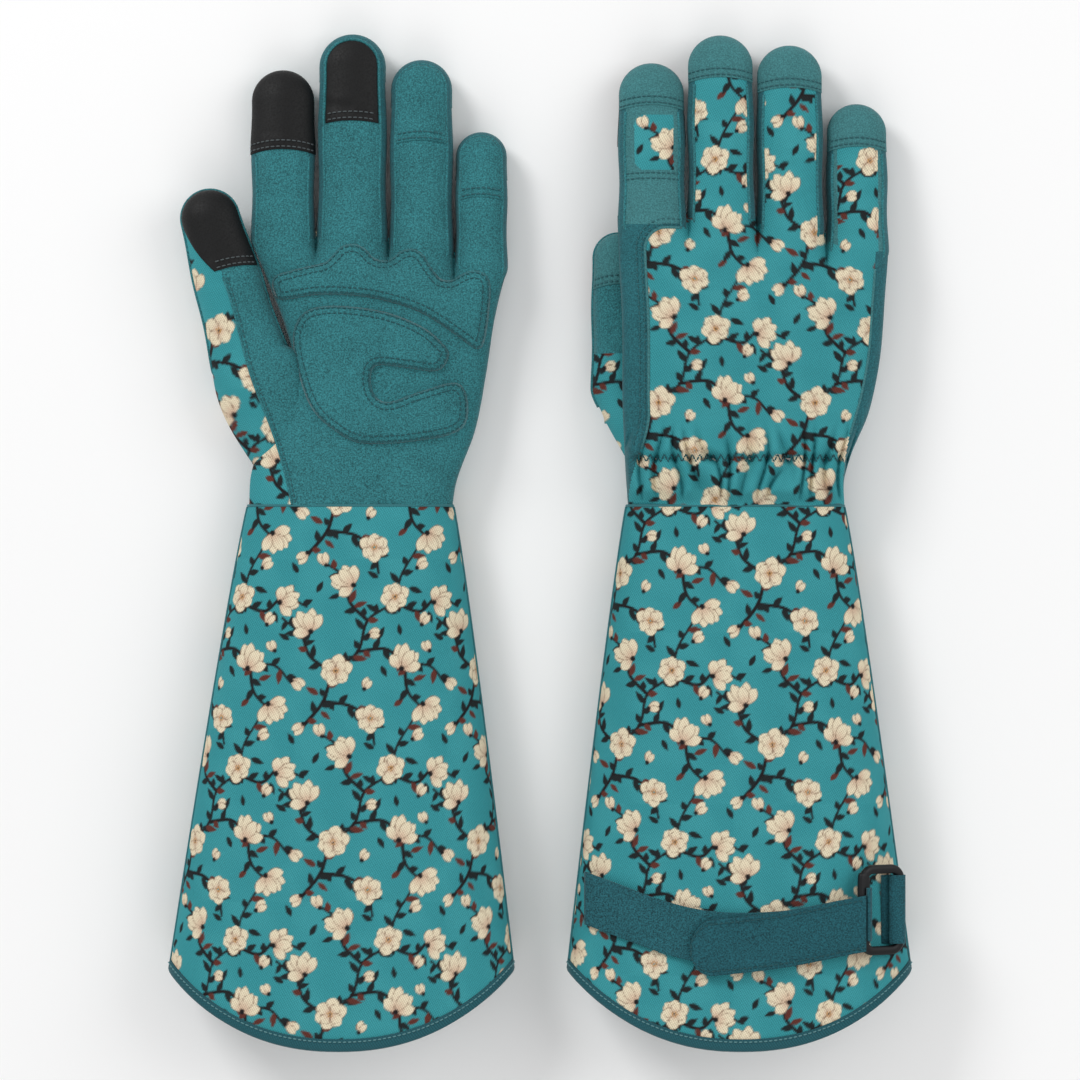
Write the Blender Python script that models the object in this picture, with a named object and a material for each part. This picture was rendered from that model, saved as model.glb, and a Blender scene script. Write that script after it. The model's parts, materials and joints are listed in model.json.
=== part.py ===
"""A pair of long gauntlet gardening gloves, laid flat side by side.

The left glove lies palm up and the right glove lies palm down, with the fingers along +Y and the
open cuffs along -Y. Z = 0 is the table. Tables hold millimetres, and MM turns them into metres.

Each glove is a chain of tubes. A section of a tube is a superellipse, so one formula gives every
panel: x and z come from an angle round the section, and y from the place along the glove.
"""

import math

import bmesh
import bpy
import numpy as np
from mathutils import Vector

MM = 0.001

# Cloth and clearances
CLOTH = 1.6  # suede or printed twill with its lining
GAP = 0.45  # between neighbouring pieces, and at a seam line

# Lengths along the glove
WRIST_Y = 13.5  # wrist seam, from the middle of the pair's length
CUFF_LENGTH = 229.3  # wrist seam to the lowest point of the hem
HEM_RISE = 32.0  # how much higher the hem's corners are than its middle
BINDING_WIDTH = 5.0
BINDING_THICK = 2.4

# Thickness of the stuffed glove, as half-heights of its sections
CUFF_HEM_HALF = 23.0
CUFF_TOP_HALF = 15.0
HAND_HALF = 12.5
KNUCKLE_HALF = 11.0
FINGERTIP_HALF = 8.6
TUBE_POWER = 2.5  # 2 is an ellipse, more is squarer
RESTING_FLAT = 0.8  # how far the weight of a cuff presses its underside flat
PANEL_EDGE = 36.0  # degrees above the middle plane, where a finger's front and back panels end
SEAM_EDGE = 2.5  # the same for a thumb, whose two panels meet at its sides

# Bends
WRIST_BEND = 30.0  # degrees each way
FINGER_BEND = 75.0

# Padded pieces on the palm
PAD_THICK = 2.6
PAD_GAP = 2.0  # also takes up the flats of the panel under it
ELASTIC_WIDTH = 6.0
ELASTIC_THICK = 1.0
ELASTIC_FROM_WRIST = 17.0
ELASTIC_GAP = 2.0

# Touch tips on the index finger, the middle finger and the thumb
TIP_LENGTH = 37.0
TIP_THICK = 0.9
TIP_EDGE = 48.0  # degrees above the middle plane, where the patch ends

# Cuff strap
STRAP_WIDTH = 22.0
STRAP_THICK = 1.5
STRAP_GAP = 0.8
TAB_WIDTH = 23.5
TAB_THICK = 1.7
BUCKLE_LENGTH = 38.0
BUCKLE_WIDTH = 22.0
BUCKLE_THICK = 3.2
BUCKLE_BAR = 4.0
BUCKLE_LIFT = 2.7  # room for both layers of the strap under the inner bar
BUCKLE_CORNER = 3.0
STRAP_RECESS = 8.2  # how far the cuff lifts over a strap that lies under it
RECESS_RAMP = 16.0
CUFF_ROWS = 12
RECESS_MARGIN = RECESS_RAMP + CUFF_LENGTH / (CUFF_ROWS - 1) / 2  # covers the cuff's flats between two rows

# One table for each glove. Outlines are (y, x) or (y, value) points from the wrist up.
# A digit holds its hinge (x, y, z), half-width at the hinge and at the tip, length from the hinge,
# height of its middle at the tip, and its lean in degrees towards -X.
GLOVES = {
    "left": {
        "palm": 1,
        "cuff_top": (-80.5, 43.4),
        "cuff_hem": (-84.7, 77.1),
        "thumb_side": [(0, -123.6), (12, -123.0), (65, -104.9), (75, -108.3), (94, -115.2), (113, -122.4)],
        "little_side": [(0, -37.2), (8, -36.0), (32, -27.6), (58, -22.6), (80, -19.2), (103, -15.0), (113, -14.2)],
        "mid_at_thumb_side": [(0, 15.5), (40, 13.0), (113, 11.6)],
        "mid_at_little_side": [(0, 15.5), (40, 13.0), (113, 11.6)],
        "digits": {
            "index": {"hinge": (-109.4, 126.5, 11.2), "half": (13.6, 13.4), "length": 72.8, "tip_z": 8.7, "lean": 0},
            "middle": {"hinge": (-79.9, 126.5, 11.2), "half": (15.0, 14.4), "length": 88.5, "tip_z": 8.7, "lean": 0},
            "ring": {"hinge": (-50.5, 121.0, 11.2), "half": (13.6, 13.2), "length": 83.0, "tip_z": 8.7, "lean": 0},
            "little": {"hinge": (-25.0, 114.5, 11.2), "half": (11.1, 10.8), "length": 58.6, "tip_z": 8.7, "lean": 0},
        },
        "thumb": {
            "hinge": (-123.0, 74.6, 14.0),
            "half": (16.2, 12.2),
            "height": (10.4, 9.0),
            "length": 75.6,
            "tip_z": 16.0,
            "lean": 15.7,
            "bend": 50.0,
            "bend_to": (0, 1),
            "root": ((-115.3, 52.0, 13.4), 69.0, 24.0, 7.2),
        },
        "finger_bend": {},
        "strap_x": (-123.0, -50.0),
        "tab_x": (-112.0,),
        "buckle_x": -31.5,
        "buckle_tilt": 0.0,
    },
    "right": {
        "palm": -1,
        "cuff_top": (83.0, 46.0),
        "cuff_hem": (84.6, 76.4),
        "thumb_side": [(0, 37.4), (10, 36.6), (40, 35.0), (80, 34.6), (100, 33.6), (119, 32.8)],
        "little_side": [(0, 129.4), (10, 129.0), (20, 131.4), (39, 139.2), (55, 143.0), (92, 146.6), (119, 148.4)],
        "mid_at_thumb_side": [(0, 17.5), (25, 24.0), (60, 29.5), (119, 29.0)],
        "mid_at_little_side": [(0, 17.5), (25, 19.5), (60, 19.0), (119, 17.5)],
        "digits": {
            "index": {"hinge": (47.4, 132.0, 26.6), "half": (14.4, 14.0), "length": 70.3, "tip_z": 9.6, "lean": 0},
            "middle": {"hinge": (76.7, 135.0, 23.2), "half": (14.1, 13.8), "length": 79.2, "tip_z": 9.0, "lean": 0},
            "ring": {"hinge": (106.1, 129.5, 19.6), "half": (14.1, 13.8), "length": 80.4, "tip_z": 8.8, "lean": 0},
            "little": {"hinge": (134.7, 121.0, 16.2), "half": (13.3, 12.6), "length": 63.9, "tip_z": 8.7, "lean": 0},
        },
        "thumb": {
            "hinge": (33.4, 62.5, 11.4),
            "half": (10.9, 10.4),
            "height": (9.8, 9.0),
            "length": 67.0,
            "tip_z": 10.8,
            "lean": 0,
            "bend": 30.0,
            "bend_to": (-1, 0),
            "root": ((35.8, 43.0, 22.6), 90.0, 15.5, 7.0),
        },
        "finger_bend": {"index": 45.0},
        "strap_x": (27.0, 122.0),
        "tab_x": (63.0,),
        "buckle_x": 143.6,
        "buckle_tilt": 30.0,
    },
}

# The pads, as outlines over the palm: x from the thumb side's edge at the wrist, y from the wrist seam.
KNUCKLE_PAD = {
    "x": [13.0, 22.0, 34.0, 43.0, 57.0, 70.0, 82.0, 97.0, 103.0],
    "low": [87.5, 89.5, 89.5, 89.3, 87.5, 82.5, 76.5, 72.0, 72.0],
    "high": [96.5, 101.5, 102.6, 103.4, 98.5, 96.5, 90.0, 90.6, 88.0],
}
HEEL_PAD = {
    "x": [18.5, 24.0, 38.0, 45.0, 57.0, 73.0, 82.0, 90.0],
    "low": [66.0, 48.0, 34.0, 27.5, 26.0, 28.0, 31.0, 43.0],
    "high": [74.0, 84.0, 84.0, 83.8, 81.5, 75.0, 68.0, 50.0],
}

STRAP_ROWS = 2
STRAP_TOP_Y = [-141.0, -156.5, -147.0]  # upper edge at the thumb side, the middle and the buckle
TAB_TOP_Y = [-161.0, -157.0, -150.0]

COLOURS = {
    "suede": ((0.03, 0.17, 0.19), 0.85),
    "print": ((0.09, 0.38, 0.40), 0.8),
    "touch": ((0.012, 0.012, 0.014), 0.5),
    "binding": ((0.012, 0.09, 0.11), 0.75),
    "webbing": ((0.014, 0.08, 0.10), 0.7),
    "moulded": ((0.02, 0.02, 0.022), 0.35),
    "elastic": ((0.6, 0.58, 0.54), 0.7),
}


def material(slot):
    """The plain finish of one kind of cloth or moulding."""
    made = bpy.data.materials.get(slot)
    if made:
        return made
    colour, roughness = COLOURS[slot]
    made = bpy.data.materials.new(slot)
    made.use_nodes = True
    shader = made.node_tree.nodes["Principled BSDF"]
    shader.inputs["Base Color"].default_value = (*colour, 1)
    shader.inputs["Roughness"].default_value = roughness
    made.diffuse_color = (*colour, 1)
    return made


def body_empty(name, place):
    """The origin of a moving body, on its joint's axis."""
    empty = bpy.data.objects.new(name, None)
    empty.location = Vector(place) * MM
    bpy.context.scene.collection.objects.link(empty)
    return empty


def solid(name, body, outer, inner, slot, wrap=False):
    """A closed shell between two grids of points. With wrap, the columns run right round."""
    rows, columns = outer.shape[:2]
    points = np.concatenate([outer.reshape(-1, 3), inner.reshape(-1, 3)]) * MM
    points -= np.array(body.location)
    inside = rows * columns
    ends = columns if wrap else columns - 1
    faces = []
    for row in range(rows - 1):
        for column in range(ends):
            a = row * columns + column
            b = row * columns + (column + 1) % columns
            faces.append((a, b, b + columns, a + columns))
            faces.append((a + inside, a + columns + inside, b + columns + inside, b + inside))
    last = (rows - 1) * columns
    for column in range(ends):
        a = column
        b = (column + 1) % columns
        faces.append((b, a, a + inside, b + inside))
        faces.append((a + last, b + last, b + last + inside, a + last + inside))
    if not wrap:
        for row in range(rows - 1):
            a = row * columns
            b = a + columns
            faces.append((a, b, b + inside, a + inside))
            a += columns - 1
            b += columns - 1
            faces.append((b, a, a + inside, b + inside))
    return mesh_object(name, body, points, faces, slot)


def mesh_object(name, body, points, faces, slot):
    """A mesh with its faces turned outwards, under its body's empty."""
    mesh = bpy.data.meshes.new(name)
    mesh.from_pydata(np.asarray(points).tolist(), [], faces)
    work = bmesh.new()
    work.from_mesh(mesh)
    bmesh.ops.recalc_face_normals(work, faces=work.faces)
    work.to_mesh(mesh)
    work.free()
    mesh.shade_smooth()
    mesh.set_sharp_from_angle(angle=math.radians(40))
    mesh.materials.append(material(slot))
    made = bpy.data.objects.new(name, mesh)
    made.parent = body
    bpy.context.scene.collection.objects.link(made)
    return made


def superellipse(angle, half_width, half_height, power=TUBE_POWER):
    """Across and up from the middle of a section, at an angle round it."""
    cos, sin = np.cos(angle), np.sin(angle)
    across = half_width * np.sign(cos) * np.abs(cos) ** (2 / power)
    up = half_height * np.sign(sin) * np.abs(sin) ** (2 / power)
    return across, up


def table(pairs, at):
    """Reads a table of (place, value) pairs, straight between its points."""
    places, values = zip(*pairs)
    return np.interp(at, places, values)


def wedge(degrees):
    """How far a wall stands back from a hinge, for each millimetre above the hinge's axis."""
    return math.tan(math.radians(degrees / 2))


class Cuff:
    """The cuff's tube: its middle, half-width and half-height at any y."""

    def __init__(self, glove):
        self.glove = glove
        self.low_y = WRIST_Y - CUFF_LENGTH

    def share(self, y):
        return np.clip((WRIST_Y - y) / CUFF_LENGTH, 0, 1)

    def middle(self, y):
        top, hem = self.glove["cuff_top"][0], self.glove["cuff_hem"][0]
        return top + (hem - top) * self.share(y)

    def half_width(self, y):
        top, hem = self.glove["cuff_top"][1], self.glove["cuff_hem"][1]
        return top + (hem - top) * self.share(y) ** 0.9

    def half_height(self, y):
        return CUFF_TOP_HALF + (CUFF_HEM_HALF - CUFF_TOP_HALF) * self.share(y) ** 0.6

    def hem_y(self, across):
        """The hem's height along the glove, where across runs from -1 to 1 over the cuff."""
        return self.low_y + HEM_RISE * np.abs(across) ** 2.2

    def floor(self, y):
        """The lowest that cloth may lie: on the table, or over the strap of a glove laid palm up."""
        if self.glove["palm"] < 0:
            return np.zeros_like(y)
        middle = (max(STRAP_TOP_Y) + min(TAB_TOP_Y) - TAB_WIDTH) / 2
        reach = (max(STRAP_TOP_Y) - min(TAB_TOP_Y) + TAB_WIDTH) / 2
        ramp = np.clip((reach + RECESS_MARGIN - np.abs(y - middle)) / RECESS_RAMP, 0, 1)
        return STRAP_RECESS * ramp

    def points(self, y, angle, inset):
        """Points on the tube, inset from its outer face. The underside lies flat."""
        half_height = self.half_height(y)
        across, up = superellipse(angle, self.half_width(y) - inset, half_height - inset)
        height = np.maximum(half_height - RESTING_FLAT + up, self.floor(y) + inset)
        return np.stack([self.middle(y) + across, y, height], axis=-1)

    def back_height(self, x, y):
        """The outer face's height on the back of the glove, over a place on the table."""
        half_height = self.half_height(y)
        share = np.clip(np.abs(x - self.middle(y)) / self.half_width(y), 0, 0.999)
        up = half_height * (1 - share**TUBE_POWER) ** (1 / TUBE_POWER)
        if self.glove["palm"] < 0:
            return half_height - RESTING_FLAT + up
        return np.maximum(half_height - RESTING_FLAT - up, self.floor(y))


class Hand:
    """The hand's tube, from the wrist seam to the knuckles."""

    def __init__(self, glove):
        self.glove = glove

    def sides(self, y):
        from_wrist = y - WRIST_Y
        return table(self.glove["thumb_side"], from_wrist), table(self.glove["little_side"], from_wrist)

    def middle_height(self, x, y):
        left, right = self.sides(y)
        share = np.clip((x - left) / (right - left), -0.1, 1.1)
        from_wrist = y - WRIST_Y
        at_thumb = table(self.glove["mid_at_thumb_side"], from_wrist)
        at_little = table(self.glove["mid_at_little_side"], from_wrist)
        return at_thumb + (at_little - at_thumb) * share

    def half_height(self, y):
        return table([(0, CUFF_TOP_HALF - 1), (35, HAND_HALF), (85, HAND_HALF), (113, KNUCKLE_HALF)], y - WRIST_Y)

    def points(self, y, angle, inset):
        left, right = self.sides(y)
        across, up = superellipse(angle, (right - left) / 2 - inset, self.half_height(y) - inset)
        x = (left + right) / 2 + across
        height = np.maximum(self.middle_height(x, y) + up, inset)
        return np.stack([x, y, height], axis=-1)

    def palm_height(self, x, y):
        """The outer face's height on the palm side, over a place on the table."""
        left, right = self.sides(y)
        share = np.clip(np.abs(x - (left + right) / 2) / ((right - left) / 2), 0, 0.999)
        up = self.half_height(y) * (1 - share**TUBE_POWER) ** (1 / TUBE_POWER)
        return self.middle_height(x, y) + self.glove["palm"] * up


def knuckle_line(glove, x):
    """The y of the hinges over a place across the hand, taking the lower one between two fingers."""
    digits = list(glove["digits"].values())
    places = [digits[0]["hinge"][0] - digits[0]["half"][0]]
    ends = [digits[0]["hinge"][1]]
    for left, right in zip(digits, digits[1:]):
        places.append((left["hinge"][0] + left["half"][0] + right["hinge"][0] - right["half"][0]) / 2)
        ends.append(min(left["hinge"][1], right["hinge"][1]))
    places.append(digits[-1]["hinge"][0] + digits[-1]["half"][0])
    ends.append(digits[-1]["hinge"][1])
    return np.interp(x, places, ends)


def hand_panel(hand, name, body, side, slot):
    """One face of the hand. Its thumb side opens where the thumb goes in."""
    glove = hand.glove
    rows = np.linspace(0, 1, 10)[:, None]
    columns = np.linspace(0, 1, 11)[None, :]
    to_palm = side * glove["palm"] > 0
    far = math.radians(1.5)
    opening = math.radians(36)
    rough_y = WRIST_Y + rows * 110
    from_wrist = rough_y - WRIST_Y
    mouth = np.clip((from_wrist - 10) / 6, 0, 1) * np.clip((66 - from_wrist) / 5, 0, 1)
    thumb_end = far + (opening - far) * mouth
    angle = side * (math.pi - thumb_end - (math.pi - thumb_end - far) * columns)
    grids = []
    for inset in (0.0, CLOTH):
        left, right = hand.sides(rough_y)
        across, up = superellipse(angle, (right - left) / 2 - inset, hand.half_height(rough_y) - inset)
        bent = np.abs(up)
        start = WRIST_Y + GAP + bent * wedge(WRIST_BEND)
        x = (left + right) / 2 + across
        end = knuckle_line(glove, x) - GAP - (bent * wedge(FINGER_BEND) if to_palm else 0 * bent)
        y = start + (end - start) * rows
        grids.append(hand.points(y, angle, inset))
    return solid(name, body, grids[0], grids[1], slot)


def pad(hand, name, body, outline, slot):
    """A padded patch that lies on the palm."""
    glove = hand.glove
    left = glove["thumb_side"][0][1]
    x = np.array(outline["x"])[None, :] + left
    low = np.array(outline["low"])[None, :] + WRIST_Y
    high = np.array(outline["high"])[None, :] + WRIST_Y
    rows = np.linspace(0, 1, 4)[:, None]
    y = low + (high - low) * rows
    x = np.broadcast_to(x, y.shape)
    face = hand.palm_height(x, y)
    near = np.stack([x, y, face + glove["palm"] * PAD_GAP], axis=-1)
    far = np.stack([x, y, face + glove["palm"] * (PAD_GAP + PAD_THICK)], axis=-1)
    return solid(name, body, far, near, slot)


def elastic(hand, name, body, slot):
    """The flat elastic that gathers the back of the wrist, inside the back panel."""
    side = -hand.glove["palm"]
    angle = side * np.radians(np.linspace(28, 152, 11))[None, :]
    middle = WRIST_Y + ELASTIC_FROM_WRIST
    y = np.linspace(middle - ELASTIC_WIDTH / 2, middle + ELASTIC_WIDTH / 2, 2)[:, None]
    y = np.broadcast_to(y, (2, angle.shape[1]))
    angle = np.broadcast_to(angle, y.shape)
    near = hand.points(y, angle, CLOTH + ELASTIC_GAP)
    far = hand.points(y, angle, CLOTH + ELASTIC_GAP + ELASTIC_THICK)
    return solid(name, body, near, far, slot)


class Digit:
    """A finger or a thumb: a flattened tube with a round end, from its hinge out."""

    def __init__(self, spec, bend, bend_to, height):
        self.hinge = spec["hinge"]
        self.half = spec["half"]
        self.length = spec["length"]
        self.tip_z = spec["tip_z"]
        self.height = height
        self.slope = wedge(bend)
        self.bend_to = bend_to
        lean = math.radians(spec["lean"])
        self.along = np.array([-math.sin(lean), math.cos(lean)])
        self.across = np.array([math.cos(lean), math.sin(lean)])
        self.round_from = self.length - self.half[1]

    def place(self, u, v, up):
        """A point from its distances along, across and above the digit's own line."""
        share = np.clip(u / self.length, 0, 1)
        x = self.hinge[0] + self.along[0] * u + self.across[0] * v
        y = self.hinge[1] + self.along[1] * u + self.across[1] * v
        z = self.hinge[2] + (self.tip_z - self.hinge[2]) * share + up
        return np.stack([x, y, z], axis=-1)

    def sizes(self, u, inset):
        share = np.clip(u / self.round_from, 0, 1)
        half = self.half[0] + (self.half[1] - self.half[0]) * share - inset
        height = self.height[0] + (self.height[1] - self.height[0]) * share - inset
        return half, height

    def stand_back(self, v, up):
        """How far from the hinge the wall starts, so that it clears the hand when it bends."""
        return GAP + self.slope * np.maximum(0, v * self.bend_to[0] + up * self.bend_to[1])

    def face(self, side, edge, inset, start=None, columns=6):
        """A grid over the front or the back. Its edge is an angle above the middle plane."""
        turn = np.linspace(math.pi - edge, edge, columns)[None, :]
        caps = np.radians(np.array([28, 54, 78]))[:, None]
        first = (start or 0.0) / self.round_from
        straight = np.linspace(first, 1, 3)[:, None] * np.ones_like(turn)
        half, height = self.sizes(straight * self.round_from, inset)
        v = half * np.cos(turn)
        up = side * height * np.sin(turn)
        u = straight * self.round_from
        if start is None:
            back = self.stand_back(v, up)
            u = back + (self.round_from - back) * straight
        body = self.place(u, v, up)
        half, height = self.sizes(self.round_from, inset)
        reach = math.cos(edge)
        spread = np.cos(turn) / reach
        x = spread * np.cos(caps)
        y = np.sin(caps) * np.ones_like(x)
        radius = reach * np.sqrt(x**2 + y**2)
        up = side * height * np.sqrt(np.maximum(0, 1 - radius**2))
        cap = self.place(self.round_from + half * reach * y, half * reach * x, up)
        return np.concatenate([body, cap])

    def rim(self, edge, inset):
        """A grid round the sides and the tip, between the front and the back."""
        rise = np.linspace(-edge, edge, 4)[None, :]
        straight = np.linspace(0, 1, 3)[:-1]
        turns = np.linspace(math.pi, 0, 8)[:, None]
        parts = []
        for side, run in ((-1, straight), (1, straight[::-1])):
            u = run[:, None] * self.round_from * np.ones_like(rise)
            half, height = self.sizes(u, inset)
            v = side * half * np.cos(rise)
            up = height * np.sin(rise)
            back = self.stand_back(v, up)
            u = back + (self.round_from - back) * run[:, None]
            parts.append(self.place(u, v, up))
        half, height = self.sizes(self.round_from, inset)
        v = half * np.cos(rise) * np.cos(turns)
        u = self.round_from + half * np.cos(rise) * np.sin(turns)
        cap = self.place(u, v, height * np.sin(rise) * np.ones_like(turns))
        return np.concatenate([parts[0], cap, parts[1]])


def finger(glove, prefix, digit_name, body, backs):
    """A finger's front, its side gusset and its back."""
    spec = glove["digits"][digit_name]
    bend = glove["finger_bend"].get(digit_name, FINGER_BEND)
    digit = Digit(spec, bend, (0, glove["palm"]), (KNUCKLE_HALF - 0.4, FINGERTIP_HALF))
    panel_edge = math.radians(PANEL_EDGE)
    rim_edge = panel_edge - GAP / FINGERTIP_HALF
    name = f"{prefix}_{digit_name}"
    palm = glove["palm"]
    solid(f"{name}_front", body, digit.face(palm, panel_edge, 0), digit.face(palm, panel_edge, CLOTH), "suede")
    solid(f"{name}_gusset", body, digit.rim(rim_edge, 0), digit.rim(rim_edge, CLOTH), "suede")
    solid(f"{name}_back", body, digit.face(-palm, panel_edge, 0), digit.face(-palm, panel_edge, CLOTH), backs)
    return digit


def touch_tip(digit, side, name, body):
    """The smooth patch over the pad of a fingertip."""
    start = digit.round_from + digit.half[1] - TIP_LENGTH
    edge = math.radians(TIP_EDGE)
    outer = digit.face(side, edge, -GAP - TIP_THICK, start)
    inner = digit.face(side, edge, -GAP, start)
    solid(name, body, outer, inner, "touch")


def thumb(glove, prefix, body):
    """The thumb's palm side and its printed outer side."""
    spec = glove["thumb"]
    bend_to = (spec["bend_to"][0], spec["bend_to"][1] * glove["palm"])
    digit = Digit(spec, spec["bend"], bend_to, spec["height"])
    edge = math.radians(SEAM_EDGE)
    palm = glove["palm"]
    solid(f"{prefix}_thumb_front", body, digit.face(palm, edge, 0, columns=9),
          digit.face(palm, edge, CLOTH, columns=9), "suede")
    solid(f"{prefix}_thumb_back", body, digit.face(-palm, edge, 0, columns=9),
          digit.face(-palm, edge, CLOTH, columns=9), "print")
    return digit


def thumb_root(glove, digit, name, body):
    """The tube that carries the thumb from the opening in the hand's side to the thumb's hinge."""
    centre, heading, half_length, half_height = glove["thumb"]["root"]
    turn = np.linspace(0, 2 * math.pi, 25)[:-1][None, :]
    heading = math.radians(heading)
    grids = []
    for inset in (0.0, CLOTH):
        along = (half_length - inset) * np.cos(turn)
        mouth = np.stack([
            centre[0] + math.cos(heading) * along,
            centre[1] + math.sin(heading) * along,
            centre[2] + (half_height - inset) * np.sin(turn),
        ], axis=-1)
        half, height = digit.sizes(0.0, inset)
        v, up = half * np.cos(turn), height * np.sin(turn)
        end = digit.place(-digit.stand_back(v, up), v, up)
        shares = np.linspace(0, 1, 4)[:, None, None]
        grids.append(mouth + (end - mouth) * shares)
    return solid(name, body, grids[0], grids[1], "print", wrap=True)


def cuff_panel(cuff, name, body, side):
    """One printed face of the cuff, from the wrist to the hem binding."""
    rows = np.linspace(0, 1, CUFF_ROWS)[:, None]
    far = math.radians(1.2)
    angle = side * np.linspace(math.pi - far, far, 15)[None, :]
    grids = []
    for inset in (0.0, CLOTH):
        across, up = superellipse(angle, 1.0, CUFF_TOP_HALF - inset)
        top = WRIST_Y - GAP - np.abs(up) * wedge(WRIST_BEND)
        low = cuff.hem_y(across) + BINDING_WIDTH + 3 * GAP
        y = top + (low - top) * rows
        grids.append(cuff.points(y, angle * np.ones_like(y), inset))
    return solid(name, body, grids[0], grids[1], "print")


def hem_binding(cuff, name, body):
    """The tape that edges the hem, right round."""
    angle = np.linspace(0, 2 * math.pi, 37)[:-1][None, :]
    across = superellipse(angle, 1.0, 1.0)[0]
    low = cuff.hem_y(across)
    y = low + np.array([0, BINDING_WIDTH])[:, None]
    spare = (BINDING_THICK - CLOTH) / 2
    outer = cuff.points(y, angle * np.ones_like(y), 0.0)
    inner = cuff.points(y, angle * np.ones_like(y), BINDING_THICK - spare)
    return solid(name, body, outer, inner, "binding", wrap=True)


def strip_on_back(cuff, name, body, ends, tops, width, low, high, slot, columns=10):
    """A flat strap over the back of the cuff, between two heights above the cloth."""
    x = np.linspace(ends[0], ends[1], columns)[None, :]
    share = np.linspace(0, 1, columns)[None, :]
    top = np.interp(share, [0, 0.5, 1], tops)
    y = top - np.linspace(0, width, STRAP_ROWS)[:, None]
    x = np.broadcast_to(x, y.shape)
    face = cuff.back_height(x, y)
    away = -cuff.glove["palm"]
    near = np.stack([x, y, face + away * low], axis=-1)
    far = np.stack([x, y, face + away * high], axis=-1)
    return solid(name, body, far, near, slot)


def buckle_place(cuff):
    """The middle of the buckle, and the unit vectors across it and out from the cuff."""
    glove = cuff.glove
    away = -glove["palm"]
    tilt = math.radians(glove["buckle_tilt"])
    x = glove["buckle_x"]
    y = STRAP_TOP_Y[2] - STRAP_WIDTH / 2 + 1.5
    inner_x = x - math.cos(tilt) * (BUCKLE_WIDTH - BUCKLE_BAR) / 2
    face = float(cuff.back_height(np.array(inner_x), np.array(y)))
    stack = BUCKLE_LIFT + STRAP_THICK + BUCKLE_THICK / 2
    inner_z = face + away * stack
    across = np.array([math.cos(tilt), 0, -away * math.sin(tilt)])
    out = np.array([math.sin(tilt), 0, away * math.cos(tilt)])
    middle = np.array([inner_x, y, inner_z]) + across * (BUCKLE_WIDTH - BUCKLE_BAR) / 2
    return middle, across, out


def buckle_loop(cuff, name, body):
    """A moulded loop with one window: a ring of rectangular section."""
    middle, across, out = buckle_place(cuff)
    outer_half = np.array([BUCKLE_WIDTH / 2, BUCKLE_LENGTH / 2])
    turns = np.linspace(0, 2 * math.pi, 17)[:-1]
    outline = []
    for turn in turns:
        direction = np.array([math.cos(turn), math.sin(turn)])
        outline.append(np.sign(np.round(direction, 6)) * (outer_half - BUCKLE_CORNER) + direction * BUCKLE_CORNER)
    outline = np.array(outline)
    inline = outline * (outer_half - BUCKLE_BAR) / outer_half
    rings = []
    for flat, height in ((outline, 0.5), (outline, -0.5), (inline, -0.5), (inline, 0.5)):
        x = flat[:, :1] * across[None, :]
        y = flat[:, 1:] * np.array([[0, 1, 0]])
        rings.append(middle + x + y + out * height * BUCKLE_THICK)
    points = np.concatenate(rings) * MM - np.array(body.location)
    count = len(turns)
    faces = []
    for ring in range(4):
        for i in range(count):
            a = ring * count + i
            b = ring * count + (i + 1) % count
            after = (ring + 1) % 4 * count
            faces.append((a, b, after + (i + 1) % count, after + i))
    return mesh_object(name, body, points, faces, "moulded")


def buckle_keeper(cuff, name, body):
    """The webbing that holds the buckle's outer bar, sewn flat to the cuff beside its window."""
    middle, across, out = buckle_place(cuff)
    reach = (BUCKLE_WIDTH - 2 * BUCKLE_BAR) / 2 - 2.0
    half_length = BUCKLE_LENGTH / 2 - BUCKLE_BAR - 1.2
    away = -cuff.glove["palm"]
    y = middle[1] + np.linspace(-half_length, half_length, 3)[:, None]
    x = middle[0] + np.linspace(-0.2, reach - 1.0, 5)[None, :] * across[0]
    y, x = np.broadcast_arrays(y, x)
    face = cuff.back_height(x, y)
    near = np.stack([x, y, face + away * STRAP_GAP], axis=-1)
    far = np.stack([x, y, face + away * (STRAP_GAP + STRAP_THICK)], axis=-1)
    return solid(name, body, far, near, "webbing")


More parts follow.
